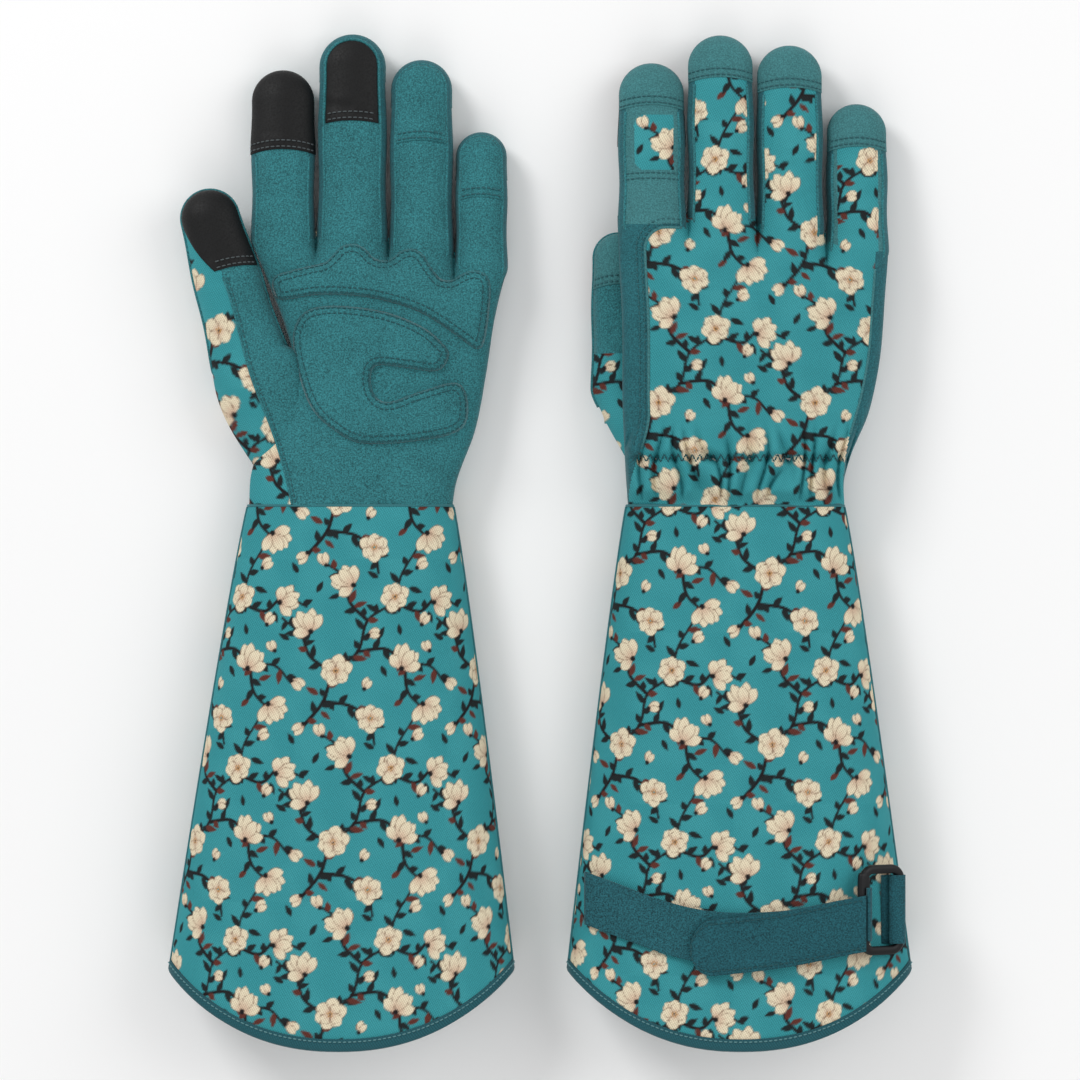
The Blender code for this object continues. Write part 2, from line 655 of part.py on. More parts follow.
def glove_pieces(side):
    """All the pieces of one glove."""
    glove = GLOVES[side]
    cuff, hand = Cuff(glove), Hand(glove)
    palm = glove["palm"]
    cuff_body = body_empty(f"{side}_cuff", (cuff.middle(WRIST_Y), WRIST_Y, glove["mid_at_thumb_side"][0][1]))
    hand_body = body_empty(f"{side}_hand", (cuff.middle(WRIST_Y), WRIST_Y, glove["mid_at_thumb_side"][0][1]))

    cuff_panel(cuff, f"{side}_cuff_palm_panel", cuff_body, palm)
    cuff_panel(cuff, f"{side}_cuff_back_panel", cuff_body, -palm)
    hem_binding(cuff, f"{side}_hem_binding", cuff_body)

    hand_panel(hand, f"{side}_palm_panel", hand_body, palm, "suede")
    hand_panel(hand, f"{side}_back_panel", hand_body, -palm, "print")
    pad(hand, f"{side}_knuckle_pad", hand_body, KNUCKLE_PAD, "suede")
    pad(hand, f"{side}_heel_pad", hand_body, HEEL_PAD, "suede")
    elastic(hand, f"{side}_wrist_elastic", hand_body, "elastic")

    for name, spec in glove["digits"].items():
        body = body_empty(f"{side}_{name}", spec["hinge"])
        backs = "suede" if name == "index" else "print"
        digit = finger(glove, side, name, body, backs)
        if name in ("index", "middle"):
            touch_tip(digit, palm, f"{side}_{name}_touch_tip", body)
    body = body_empty(f"{side}_thumb", glove["thumb"]["hinge"])
    digit = thumb(glove, side, body)
    touch_tip(digit, palm, f"{side}_thumb_touch_tip", body)
    thumb_root(glove, digit, f"{side}_thumb_root", hand_body)

    low, high = STRAP_GAP, STRAP_GAP + STRAP_THICK
    strip_on_back(cuff, f"{side}_strap_base", cuff_body, glove["strap_x"], STRAP_TOP_Y, STRAP_WIDTH,
                  low, high, "webbing")
    middle, across, out = buckle_place(cuff)
    bar = (BUCKLE_WIDTH - BUCKLE_BAR) / 2
    buckle_body = body_empty(f"{side}_buckle", middle + across * bar)
    buckle_loop(cuff, f"{side}_buckle_loop", buckle_body)
    buckle_keeper(cuff, f"{side}_buckle_keeper", cuff_body)
    tab_body = body_empty(f"{side}_strap_tab", middle - across * bar)
    low, high = high + GAP, high + GAP + TAB_THICK
    reach = middle[0] - across[0] * (bar + BUCKLE_BAR / 2) - GAP * 3
    strip_on_back(cuff, f"{side}_strap_tab_end", tab_body, (glove["tab_x"][0], reach), TAB_TOP_Y, TAB_WIDTH,
                  low, high, "webbing")


def main():
    for item in list(bpy.data.objects):
        bpy.data.objects.remove(item, do_unlink=True)
    for side in GLOVES:
        glove_pieces(side)


main()
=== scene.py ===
import json
import math

import bmesh
import bpy
import numpy as np
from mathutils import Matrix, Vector
from mathutils.bvhtree import BVHTree
from mathutils.geometry import delaunay_2d_cdt


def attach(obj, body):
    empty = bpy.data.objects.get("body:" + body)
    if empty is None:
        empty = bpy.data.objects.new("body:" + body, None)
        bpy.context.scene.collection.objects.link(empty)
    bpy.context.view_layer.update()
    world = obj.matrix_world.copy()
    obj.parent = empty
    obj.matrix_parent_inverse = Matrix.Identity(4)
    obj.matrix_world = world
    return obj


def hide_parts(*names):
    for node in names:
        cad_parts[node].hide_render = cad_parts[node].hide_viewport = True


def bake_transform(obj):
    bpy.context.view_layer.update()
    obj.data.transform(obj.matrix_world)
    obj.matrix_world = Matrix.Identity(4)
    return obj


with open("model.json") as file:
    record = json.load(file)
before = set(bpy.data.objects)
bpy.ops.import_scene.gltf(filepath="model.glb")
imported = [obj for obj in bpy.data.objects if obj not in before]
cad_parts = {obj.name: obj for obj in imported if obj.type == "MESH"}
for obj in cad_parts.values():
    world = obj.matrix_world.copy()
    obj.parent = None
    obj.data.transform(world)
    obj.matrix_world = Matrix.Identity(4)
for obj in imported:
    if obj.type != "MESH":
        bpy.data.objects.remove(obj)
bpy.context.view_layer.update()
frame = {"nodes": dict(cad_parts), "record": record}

mm = 0.001
record = frame["record"]
joints = {joint["name"]: joint for joint in record["behaviour"]["joints"]}


def smooth(low, high, value):
    # 0 below low, 1 above high, and a cubic ease between them
    share = np.clip((value - low) / (high - low), 0, 1)
    return share * share * (3 - 2 * share)


def ease(points, at):
    # a curve through (place, value) points: cubic pieces whose slopes are the mean of their neighbours'
    x, y = np.array(points, float).T
    slope = np.gradient(y, x)
    at = np.clip(at, x[0], x[-1])
    cell = np.clip(np.searchsorted(x, at) - 1, 0, len(x) - 2)
    step = x[cell + 1] - x[cell]
    t = (at - x[cell]) / step
    a, b = y[cell], y[cell + 1]
    return (
        a * (2 * t**3 - 3 * t**2 + 1) + slope[cell] * step * (t**3 - 2 * t**2 + t)
        + b * (3 * t**2 - 2 * t**3) + slope[cell + 1] * step * (t**3 - t**2)
    )


def unit(vectors):
    return vectors / np.maximum(np.linalg.norm(vectors, axis=-1, keepdims=True), 1e-9)


def ripple(x, y, size, seed, turns=9):
    # soft uneven waves: a mean of sines that run in seeded directions, about size mm long
    rng = np.random.default_rng(seed)
    total = 0
    for _ in range(turns):
        way, phase = rng.uniform(0, 2 * math.pi, 2)
        length = size * rng.uniform(0.6, 1.6)
        total = total + np.sin((x * math.cos(way) + y * math.sin(way)) * 2 * math.pi / length + phase)
    return total / math.sqrt(turns)


def meshPiece(name, points, faces, materials, slots=None, colour=None, cloth=None):
    mesh = bpy.data.meshes.new(name)
    faces = faces.tolist() if isinstance(faces, np.ndarray) else faces
    mesh.from_pydata(np.asarray(points, float) * mm, [], faces)
    for made in materials:
        mesh.materials.append(made)
    if slots is not None:
        mesh.polygons.foreach_set("material_index", np.asarray(slots, np.int32))
    if colour is not None:
        layer = mesh.color_attributes.new("printColour", "FLOAT_COLOR", "POINT")
        rgba = np.concatenate([colour, np.ones((len(colour), 1))], axis=1)
        layer.data.foreach_set("color", rgba.astype(np.float32).ravel())
    if cloth is not None:
        flat = mesh.attributes.new("clothPlace", "FLOAT_VECTOR", "POINT")
        flat.data.foreach_set("vector", np.asarray(cloth, np.float32).ravel())
    mesh.shade_smooth()
    piece = bpy.data.objects.new(name, mesh)
    bpy.context.scene.collection.objects.link(piece)
    return piece


def gridFaces(rows, columns, wrap=False, flip=False, closed=False):
    # the quads between neighbouring columns and rows of a grid, joined round by wrap and by closed
    a = np.arange(rows * columns).reshape(rows, columns)
    if closed:
        a = np.concatenate([a, a[:1]], axis=0)
    if wrap:
        a = np.concatenate([a, a[:, :1]], axis=1)
    quads = np.stack([a[:-1, :-1], a[:-1, 1:], a[1:, 1:], a[1:, :-1]], axis=-1).reshape(-1, 4)
    return quads[:, ::-1] if flip else quads


def onCloth(x, y):
    # places on the cloth in mm, for the weave
    return np.stack([x, y, 0 * y], axis=-1)


def drape(grid):
    # places on cloth that also runs down the sides
    return onCloth(grid[..., 0], grid[..., 1] + grid[..., 2] * 0.5)


def gridPiece(name, grid, material, wrap=False, flip=False, closed=False, wall=0.0, colour=None, cloth=None,
              slots=None):
    colour = None if colour is None else colour.reshape(-1, 3)
    materials = material if isinstance(material, list) else [material]
    faces = gridFaces(*grid.shape[:2], wrap, flip, closed)
    piece = meshPiece(name, grid.reshape(-1, 3), faces, materials, slots, colour, cloth)
    if wall:
        thick = piece.modifiers.new("wall", "SOLIDIFY")
        thick.thickness = wall * mm
        thick.offset = -1
        thick.use_even_offset = False
    return piece


def rework(piece, change):
    work = bmesh.new()
    work.from_mesh(piece.data)
    change(work)
    work.to_mesh(piece.data)
    work.free()
    piece.data.shade_smooth()


def closeSeams(piece, reach=0.02):
    rework(piece, lambda work: bmesh.ops.remove_doubles(work, verts=work.verts, dist=reach * mm))


def faceOut(piece):
    rework(piece, lambda work: bmesh.ops.recalc_face_normals(work, faces=work.faces))


def tubeMesh(path, radius, sides=8, up=(0, 0, 1), closed=False):
    # rings carried along a path, with a flat end at each end of an open one
    path = np.asarray(path, float)
    ahead = unit(np.roll(path, -1, axis=0) - np.roll(path, 1, axis=0) if closed else np.gradient(path, axis=0))
    side = unit(np.cross(ahead, np.broadcast_to(np.asarray(up, float), path.shape)))
    lift = np.cross(side, ahead)
    turn = np.arange(sides) * 2 * math.pi / sides
    ring = np.cos(turn)[None, :, None] * side[:, None] + np.sin(turn)[None, :, None] * lift[:, None]
    points = (path[:, None] + radius * ring).reshape(-1, 3)
    count = len(path)
    faces = gridFaces(count, sides, wrap=True, closed=closed).tolist()
    if not closed:
        faces += [list(range(sides))[::-1], [(count - 1) * sides + i for i in range(sides)]]
    return points, faces


def joinMeshes(parts):
    points, faces, start = [], [], 0
    for some, more in parts:
        points.append(some)
        faces += [[index + start for index in face] for face in more]
        start += len(some)
    return np.concatenate(points), faces


def pathLengths(path):
    return np.concatenate([[0], np.cumsum(np.linalg.norm(np.diff(path, axis=0), axis=1))])


def walk(path, values, at):
    # values carried along a path, read at distances from its start
    places = pathLengths(path)
    return np.stack([np.interp(at, places, column) for column in np.asarray(values).T], axis=1)


def stitchRow(path, normals, pitch=2.6, length=1.9, thread=0.34, rise=0.22):
    # one short bowed capsule for each stitch, spaced along a path on the cloth
    path, normals = np.asarray(path), np.asarray(normals)
    total = pathLengths(path)[-1]
    starts = np.arange(0.4, total - length, pitch)
    if not len(starts):
        return np.zeros((0, 3)), []
    sides, bows = 6, np.array([-0.35, 0.6, 1.0, 0.6, -0.35])
    shares = np.array([0.0, 0.18, 0.5, 0.82, 1.0])
    at = (starts[:, None] + length * shares[None, :]).ravel()
    centre = walk(path, path, at)
    normal = unit(walk(path, normals, at))
    ahead = unit(walk(path, path, at + 0.2) - walk(path, path, at - 0.2))
    side = np.cross(ahead, normal)
    count = len(starts)
    bow = np.tile(bows, count)[:, None]
    centre = centre + normal * bow * rise
    swell = np.tile(np.array([0.45, 0.95, 1.0, 0.95, 0.45]), count)[:, None, None] * thread
    turn = np.arange(sides) * 2 * math.pi / sides
    ring = np.cos(turn)[None, :, None] * side[:, None] + np.sin(turn)[None, :, None] * normal[:, None]
    points = (centre[:, None] + swell * ring).reshape(-1, 3)
    one = gridFaces(5, sides, wrap=True).tolist()
    one += [list(range(sides))[::-1], [4 * sides + i for i in range(sides)]]
    faces = []
    for number in range(count):
        shift = number * 5 * sides
        faces += [[index + shift for index in face] for face in one]
    return points, faces


def stitchPiece(name, rows, thread, body, tint):
    points, faces = joinMeshes(rows)
    if len(points):
        ride(meshPiece(name, points, faces, [thread]), body, tint)


def smoothLoop(points, count):
    # a closed curve through its points, whose slope at each is along its two neighbours
    points = np.asarray(points, float)
    number = len(points)
    at = np.linspace(0, number, count, endpoint=False)
    cell = np.floor(at).astype(int)
    t = (at - cell)[:, None]
    before, a, b, after = (points[(cell + step) % number] for step in (-1, 0, 1, 2))
    return 0.5 * (2 * a + (b - before) * t + (2 * before - 5 * a + 4 * b - after) * t**2
                  + (3 * a - before - 3 * b + after) * t**3)


def evenly(path, step):
    path = np.asarray(path, float)
    total = pathLengths(path)[-1]
    return walk(path, path, np.linspace(0, total, max(3, int(total / step))))


def layOn(pieces, path, up, lift):
    # drops a path seen from above, or from below, onto finished pieces, and returns it with the cloth's normals
    trees = []
    for piece in pieces:
        places = np.empty(len(piece.data.vertices) * 3, np.float32)
        piece.data.vertices.foreach_get("co", places)
        faces = [face.vertices for face in piece.data.polygons]
        trees.append(BVHTree.FromPolygons(places.reshape(-1, 3).tolist(), faces))
    points, normals = [], []
    for x, y in path:
        start = Vector((x * mm, y * mm, 0.2 * up))
        hits = [tree.ray_cast(start, Vector((0, 0, -up))) for tree in trees]
        hits = [hit for hit in hits if hit[0] is not None]
        if not hits:
            continue
        place, normal = min(hits, key=lambda hit: hit[3])[:2]
        normal = normal if normal.z * up > 0 else -normal
        points.append(np.array(place) / mm + np.array(normal) * lift)
        normals.append(np.array(normal))
    normals = np.array(normals)
    window = np.ones(7) / 7
    padded = np.pad(normals, ((3, 3), (0, 0)), mode="edge")
    calm = np.stack([np.convolve(padded[:, axis], window, "valid") for axis in range(3)], axis=1)
    return np.array(points), calm


def nodeGroup(name, inputs, outputs):
    group = bpy.data.node_groups.new(name, "ShaderNodeTree")
    for label, kind, value in inputs:
        socket = group.interface.new_socket(label, in_out="INPUT", socket_type=kind)
        if value is not None:
            socket.default_value = value
    for label, kind in outputs:
        group.interface.new_socket(label, in_out="OUTPUT", socket_type=kind)
    return group, group.nodes.new("NodeGroupInput"), group.nodes.new("NodeGroupOutput")


def add(tree, kind, inputs, **settings):
    # a node with its settings, whose inputs are values or sockets to link from; gives its first output
    node = tree.nodes.new(kind)
    for label, value in settings.items():
        setattr(node, label, value)
    for label, value in inputs.items():
        if isinstance(value, bpy.types.NodeSocket):
            tree.links.new(value, node.inputs[label])
        else:
            node.inputs[label].default_value = value
    return node.outputs[0]


def calculate(tree, operation, *values):
    return add(tree, "ShaderNodeMath", dict(enumerate(values)), operation=operation)


def scaled(tree, colour, amount):
    return add(tree, "ShaderNodeVectorMath", {0: colour, "Scale": amount}, operation="SCALE")


def objectPlace(tree):
    return tree.nodes.new("ShaderNodeTexCoord").outputs["Object"]


def noise(tree, place, scale, detail):
    return add(tree, "ShaderNodeTexNoise", {"Vector": place, "Scale": scale, "Detail": detail})


def spread(tree, value, low, high, start=0.0, end=1.0):
    # a value from start to end, carried to low to high
    limits = {"From Min": start, "From Max": end, "To Min": low, "To Max": high}
    return add(tree, "ShaderNodeMapRange", {"Value": value, **limits})


def finish(group, out, **sockets):
    for label, socket in sockets.items():
        group.links.new(socket, out.inputs[label])
    return group


def napGroup():
    # suede: 1 + speck x fine noise from -0.5 to 0.5 + wear x (broad noise - 0.5), times the colour
    group, inn, out = nodeGroup("suedeNap", [
        ("Colour", "NodeSocketColor", (0.05, 0.18, 0.2, 1)), ("Speck", "NodeSocketFloat", 0.5),
        ("Wear", "NodeSocketFloat", 0.3)], [("Colour", "NodeSocketColor"), ("Height", "NodeSocketFloat"),
                                            ("Roughness", "NodeSocketFloat")])
    place = objectPlace(group)
    fine = noise(group, place, 1650, 2)
    broad = noise(group, place, 55, 4)
    salt = calculate(group, "MULTIPLY_ADD", spread(group, fine, -0.5, 0.5, 0.32, 0.68), inn.outputs["Speck"], 1.0)
    wear = calculate(group, "MULTIPLY_ADD", calculate(group, "SUBTRACT", broad, 0.5), inn.outputs["Wear"], salt)
    return finish(group, out, Colour=scaled(group, inn.outputs["Colour"], wear), Height=fine,
                  Roughness=spread(group, fine, 0.78, 1.0))


def weaveGroup():
    # twill: (0.83 + 0.34 x dye noise + rib shade x (rib + 0.45 x crossing rib)), times the colour: the twill's ribs
    # shown as painted shade in their grooves and painted light on their crests; a rib is the sine of a slanting
    # distance on the cloth, one turn for each thread
    group, inn, out = nodeGroup("twillWeave", [
        ("Colour", "NodeSocketColor", (0.1, 0.4, 0.4, 1)), ("Thread", "NodeSocketFloat", 0.9),
        ("Depth", "NodeSocketFloat", 0.2)], [("Colour", "NodeSocketColor"), ("Height", "NodeSocketFloat")])
    placeNode = group.nodes.new("ShaderNodeAttribute")
    placeNode.attribute_name = "clothPlace"
    place = placeNode.outputs["Vector"]
    split = group.nodes.new("ShaderNodeSeparateXYZ")
    group.links.new(place, split.inputs[0])
    ribs = []
    for x, y in ((1.0, 0.62), (-0.55, 1.0)):
        across = calculate(group, "MULTIPLY", split.outputs["X"], x)
        slanting = calculate(group, "MULTIPLY_ADD", split.outputs["Y"], y, across)
        turns = calculate(group, "DIVIDE", slanting, inn.outputs["Thread"])
        ribs.append(calculate(group, "SINE", calculate(group, "MULTIPLY", turns, 2 * math.pi)))
    both = calculate(group, "MULTIPLY_ADD", ribs[1], 0.45, ribs[0])
    dye = calculate(group, "MULTIPLY_ADD", noise(group, place, 1.6, 3), 0.34, 0.83)
    # painted shade and light: the colour darkens in the ribs' grooves and brightens on their crests, the same ribs that
    # drive the bump
    shade = calculate(group, "MULTIPLY_ADD", both, inn.outputs["Depth"], dye)
    return finish(group, out, Colour=scaled(group, inn.outputs["Colour"], shade), Height=both)


napNodes = napGroup()
weaveNodes = weaveGroup()


def newMaterial(name, roughness, sheen=0.0, specular=0.4):
    made = bpy.data.materials.new(name)
    made.use_nodes = True
    shader = made.node_tree.nodes["Principled BSDF"]
    shader.inputs["Roughness"].default_value = roughness
    shader.inputs["Sheen Weight"].default_value = sheen
    shader.inputs["Sheen Roughness"].default_value = 0.45
    shader.inputs["Specular IOR Level"].default_value = specular
    return made, made.node_tree, shader


def bumpFrom(tree, height, shader, distance, strength):
    bump = tree.nodes.new("ShaderNodeBump")
    bump.inputs["Distance"].default_value = distance * mm
    bump.inputs["Strength"].default_value = strength
    tree.links.new(height, bump.inputs["Height"])
    tree.links.new(bump.outputs["Normal"], shader.inputs["Normal"])


def groupNode(tree, shared, **values):
    node = tree.nodes.new("ShaderNodeGroup")
    node.node_tree = shared
    for label, value in values.items():
        node.inputs[label].default_value = value
    return node


def suedeMaterial(name, colour, speck=0.62, wear=0.35):
    made, tree, shader = newMaterial(name, 0.9, 0.12, 0.2)
    nap = groupNode(tree, napNodes, Colour=(*colour, 1), Speck=speck, Wear=wear)
    tree.links.new(nap.outputs["Colour"], shader.inputs["Base Color"])
    tree.links.new(nap.outputs["Roughness"], shader.inputs["Roughness"])
    bumpFrom(tree, nap.outputs["Height"], shader, 0.12, 0.6)
    return made


def wovenMaterial(name, colour=None, thread=0.9, ribShade=0.1, roughness=0.82, sheen=0.1, specular=0.25):
    # the printed cloth takes its colour from the printColour attribute, plain cloth from the value given
    made, tree, shader = newMaterial(name, roughness, sheen, specular)
    # the weave's rib value sets the strength of painted shade in the grooves and painted light on the crests, in the
    # colour only
    weave = groupNode(tree, weaveNodes, Thread=thread, Depth=ribShade)
    if colour is None:
        dyed = tree.nodes.new("ShaderNodeVertexColor")
        dyed.layer_name = "printColour"
        tree.links.new(dyed.outputs["Color"], weave.inputs["Colour"])
    else:
        weave.inputs["Colour"].default_value = (*colour, 1)
    tree.links.new(weave.outputs["Colour"], shader.inputs["Base Color"])
    bumpFrom(tree, weave.outputs["Height"], shader, 0.07, 0.7)
    return made


def pebbledMaterial(name, colour, roughness, scale, distance, contrast=0.3):
    # leather grain or moulded skin: the colour and the gloss follow the distance to the nearest of scattered cells
    made, tree, shader = newMaterial(name, roughness, 0.0, 0.3)
    cells = add(tree, "ShaderNodeTexVoronoi", {"Vector": objectPlace(tree), "Scale": scale}, feature="F1")
    tree.links.new(scaled(tree, colour, spread(tree, cells, 1 + contrast, 1 - contrast)), shader.inputs["Base Color"])
    tree.links.new(spread(tree, cells, roughness - 0.08, roughness + 0.12), shader.inputs["Roughness"])
    bumpFrom(tree, cells, shader, distance, 0.5)
    return made


suede = suedeMaterial("suede", (0.028, 0.158, 0.176), 0.95, 0.5)
suedeDark = suedeMaterial("suedeSide", (0.020, 0.118, 0.138), 0.8)
suedeBack = suedeMaterial("suedeCaps", (0.047, 0.178, 0.190), 0.6)
printed = wovenMaterial("printedTwill", None, 1.0, 0.15, 0.85, 0.0, 0.15)
liningCloth = wovenMaterial("liningCloth", (0.30, 0.38, 0.38), 1.3, 0.12)
bindingTape = wovenMaterial("bindingTape", (0.012, 0.085, 0.105), 1.1, 0.22, 0.75)
webbing = suedeMaterial("strapWebbing", (0.013, 0.082, 0.102), 0.95)
loopPile = suedeMaterial("fastenerPile", (0.016, 0.092, 0.112), 1.1)
touchSkin = pebbledMaterial("touchSkin", (0.0035, 0.0037, 0.0040), 0.6, 1300, 0.06)
moulded = pebbledMaterial("mouldedLoop", (0.006, 0.006, 0.007), 0.38, 2400, 0.02, 0.1)
threadTeal = wovenMaterial("threadTeal", (0.022, 0.110, 0.125), 0.5, 0.2, 0.6)
threadDark = wovenMaterial("threadDark", (0.014, 0.078, 0.092), 0.5, 0.2, 0.6)
threadPad = wovenMaterial("threadPad", (0.013, 0.078, 0.090), 0.5, 0.2, 0.6)
threadGrey = wovenMaterial("threadGrey", (0.07, 0.085, 0.09), 0.5, 0.2, 0.6)
threadLight = wovenMaterial("threadLight", (0.10, 0.24, 0.26), 0.5, 0.2, 0.6)
seamTeal = wovenMaterial("seamTeal", (0.030, 0.16, 0.18), 0.8, 0.2, 0.7)
elasticWeave = wovenMaterial("elasticWeave", (0.55, 0.53, 0.5), 0.8, 0.2, 0.7)


printDesign = {
    "repeat": (66.0, 72.0),  # mm across and along
    "cell": 0.22,
    "ground": (0.036, 0.262, 0.292),
    "groundPale": (0.052, 0.315, 0.345),
    "petal": (0.74, 0.65, 0.47),
    "petalShade": (0.50, 0.27, 0.19),
    "petalLine": (0.20, 0.11, 0.07),
    "heart": (0.46, 0.24, 0.08),
    "leafStep": 4.2,  # mm between the small leaves along a branch
    "bloomScale": 0.88,
    "stem": (0.013, 0.010, 0.011),
    "leaf": (0.014, 0.018, 0.019),
    "leafWarm": (0.11, 0.030, 0.022),
    # branches: points of each run, in mm on the repeat
    "branches": [
        [(4, 2), (12, 12), (16, 24), (26, 33), (30, 46), (40, 54), (44, 66), (50, 76)],
        [(16, 24), (6, 31), (2, 40), (-6, 47)],
        [(26, 33), (38, 34), (46, 28), (57, 27), (64, 20)],
        [(40, 54), (52, 50), (60, 56), (70, 52)],
        [(30, 46), (22, 54), (20, 64), (12, 70)],
        [(12, 12), (24, 10), (32, 3), (34, -6)],
        [(46, 28), (48, 16), (56, 8)],
    ],
    # blossoms: x, y, radius, facing in degrees, petals
    "blossoms": [
        (17, 25, 7.2, 20, 6), (46, 30, 6.4, 75, 5), (41, 56, 6.8, 140, 6), (62, 55, 5.8, 20, 5),
        (4, 45, 6.2, 120, 5), (32, 5, 6.6, 95, 6), (57, 8, 6.0, 310, 5), (20, 63, 6.2, 150, 5),
    ],
    # buds and leaves: x, y, length, width, facing
    "buds": [
        (64, 21, 6.6, 3.6, -30), (4, 3, 6.2, 3.4, 220), (53, 44, 6.0, 3.2, 60), (30, 40, 5.6, 3.2, 10),
        (12, 69, 6.4, 3.4, 110), (29, 17, 5.4, 3.0, 60), (50, 68, 6.2, 3.4, 35), (57, 33, 5.4, 3.0, 120),
    ],
    "leaves": [
        (10, 15, 6.5, 2.6, 150), (22, 31, 6.0, 2.4, -20), (34, 38, 6.5, 2.6, 60), (36, 27, 5.5, 2.4, -60),
        (50, 21, 6.0, 2.4, 20), (34, 50, 6.0, 2.4, 150), (47, 60, 6.5, 2.6, -20), (56, 50, 5.5, 2.2, -70),
        (24, 52, 6.0, 2.4, 20), (18, 57, 5.5, 2.2, 200), (3, 36, 5.5, 2.2, 20), (25, 8, 6.0, 2.4, -60),
        (11, 8, 5.5, 2.2, -40), (44, 40, 5.0, 2.2, 100), (63, 38, 5.5, 2.4, 150), (62, 46, 5.0, 2.2, -120),
        (42, 10, 5.5, 2.4, 40), (8, 58, 5.5, 2.4, 60), (66, 66, 5.5, 2.4, 120), (34, 64, 5.5, 2.4, 150),
    ],
}


def printTile(design):
    # a small repeating picture worked out from distances to the branches, leaves, buds and petals
    wide, high = design["repeat"]
    step = design["cell"]
    columns, rows = round(wide / step), round(high / step)
    x, y = np.meshgrid((np.arange(columns) + 0.5) * step, (np.arange(rows) + 0.5) * step)
    wash = smooth(-1.0, 1.4, ripple(x, y, 26, 3))[..., None]
    tile = np.array(design["ground"]) * (1 - 0.5 * wash) + np.array(design["groundPale"]) * 0.5 * wash

    def near(px, py):
        # offsets to a place on the repeat, the short way round
        return (x - px + wide / 2) % wide - wide / 2, (y - py + high / 2) % high - high / 2

    def lay(mask, colour):
        nonlocal tile
        mask = np.clip(mask, 0, 1)[..., None]
        tile = tile * (1 - mask) + np.asarray(colour) * mask

    grown = []
    for run in design["branches"]:
        points = np.array(run, float)
        fine = np.linspace(0, len(points) - 1, len(points) * 12)
        path = np.stack([ease(list(enumerate(points[:, axis])), fine) for axis in (0, 1)], axis=1)
        best = np.full(x.shape, 99.0)
        for number, (px, py) in enumerate(path):
            dx, dy = near(px, py)
            width = 0.84 - 0.30 * number / len(path)
            best = np.minimum(best, np.hypot(dx, dy) - width)
        lay(0.5 - best / 0.35, design["stem"])
        places = pathLengths(path)
        for step, at in enumerate(np.arange(2.5, places[-1] - 1, design["leafStep"])):
            here, soon = walk(path, path, [at, at + 0.5])
            heading = math.degrees(math.atan2(*(soon - here)[::-1]))
            grown.append((*here, 5.2 + 1.2 * math.sin(7.0 * at), 2.7, heading + (52 if step % 2 else -52)))

    def local(px, py, facing):
        dx, dy = near(px, py)
        turn = math.radians(facing)
        return dx * math.cos(turn) + dy * math.sin(turn), -dx * math.sin(turn) + dy * math.cos(turn)

    def petal(px, py, length, width, facing, pink=0.6):
        # widest past its middle, pointed at its tip, pink at its foot, with a thin line round it
        along, across = local(px, py, facing)
        share = np.clip(along / length, 0, 1)
        half = width / 2 * np.sin(math.pi * share**1.3) ** 0.7
        edge = np.where((along > 0) & (along < length), half - np.abs(across), -9.0)
        lay(0.5 + (edge + 0.26) / 0.24, design["petalLine"])
        lay(0.5 + edge / 0.24, design["petal"])
        inside = np.clip(0.5 + edge / 0.24, 0, 1)
        lay(inside * pink * smooth(0.75, 0.0, share), design["petalShade"])
        lay(inside * 0.35 * smooth(0.30, 0.0, np.abs(across)) * smooth(1.0, 0.3, share), design["petalShade"])

    rng = np.random.default_rng(8)
    for number, (px, py, length, width, facing) in enumerate(design["leaves"] + grown):
        along, across = local(px, py, facing)
        share = np.clip(along / length, 0, 1)
        edge = width / 2 * np.sin(math.pi * share**0.8) - np.abs(across)
        inside = (along > 0) & (along < length)
        tone = design["leafWarm"] if number % 4 == 0 else design["leaf"]
        lay(np.where(inside, 0.5 + edge / 0.28, 0), tone)
    for px, py, length, width, facing in design["buds"]:
        petal(px, py, length, width, facing + 14, 0.7)
        petal(px, py, length * 0.92, width * 0.8, facing - 12, 0.4)
        along, across = local(px, py, facing)
        lay(0.5 - (np.hypot(along - 0.4, across) - 0.95) / 0.3, design["stem"])
    for px, py, radius, facing, petals in design["blossoms"]:
        radius *= design["bloomScale"]
        if petals == 5:
            # seen from the side: petals fan up out of a dark foot
            foot = math.radians(facing)
            bx, by = px - 0.75 * radius * math.cos(foot), py - 0.75 * radius * math.sin(foot)
            for turn, size in ((30, 1.0), (-30, 1.0), (62, 0.82), (-64, 0.86), (8, 1.08), (-14, 0.9)):
                grown = size * rng.uniform(0.92, 1.08)
                petal(bx, by, 1.72 * radius * grown, 0.82 * radius, facing + turn + rng.uniform(-6, 6))
            along, across = local(bx, by, facing)
            lay(0.5 - (np.hypot(along, across) - 1.2) / 0.3, design["stem"])
            continue
        for ring, (size, plump, count) in enumerate(((1.0, 0.86, 6), (0.72, 0.66, 4))):
            for place in range(count):
                turn = facing + 360 / count * place + 30 * ring + rng.uniform(-9, 9)
                away = math.radians(turn)
                fx, fy = px + 0.06 * radius * math.cos(away), py + 0.06 * radius * math.sin(away)
                grown = size * rng.uniform(0.88, 1.1)
                petal(fx, fy, radius * grown, plump * radius, turn, 0.55)
        for place in range(5):
            away = math.radians(facing + 72 * place)
            along, across = local(px + 0.9 * math.cos(away), py + 0.9 * math.sin(away), 0)
            lay(0.5 - (np.hypot(along, across) - 0.42) / 0.2, design["heart"])
    return tile


tilePicture = printTile(printDesign)
print("print: repeat drawn,", tilePicture.shape)


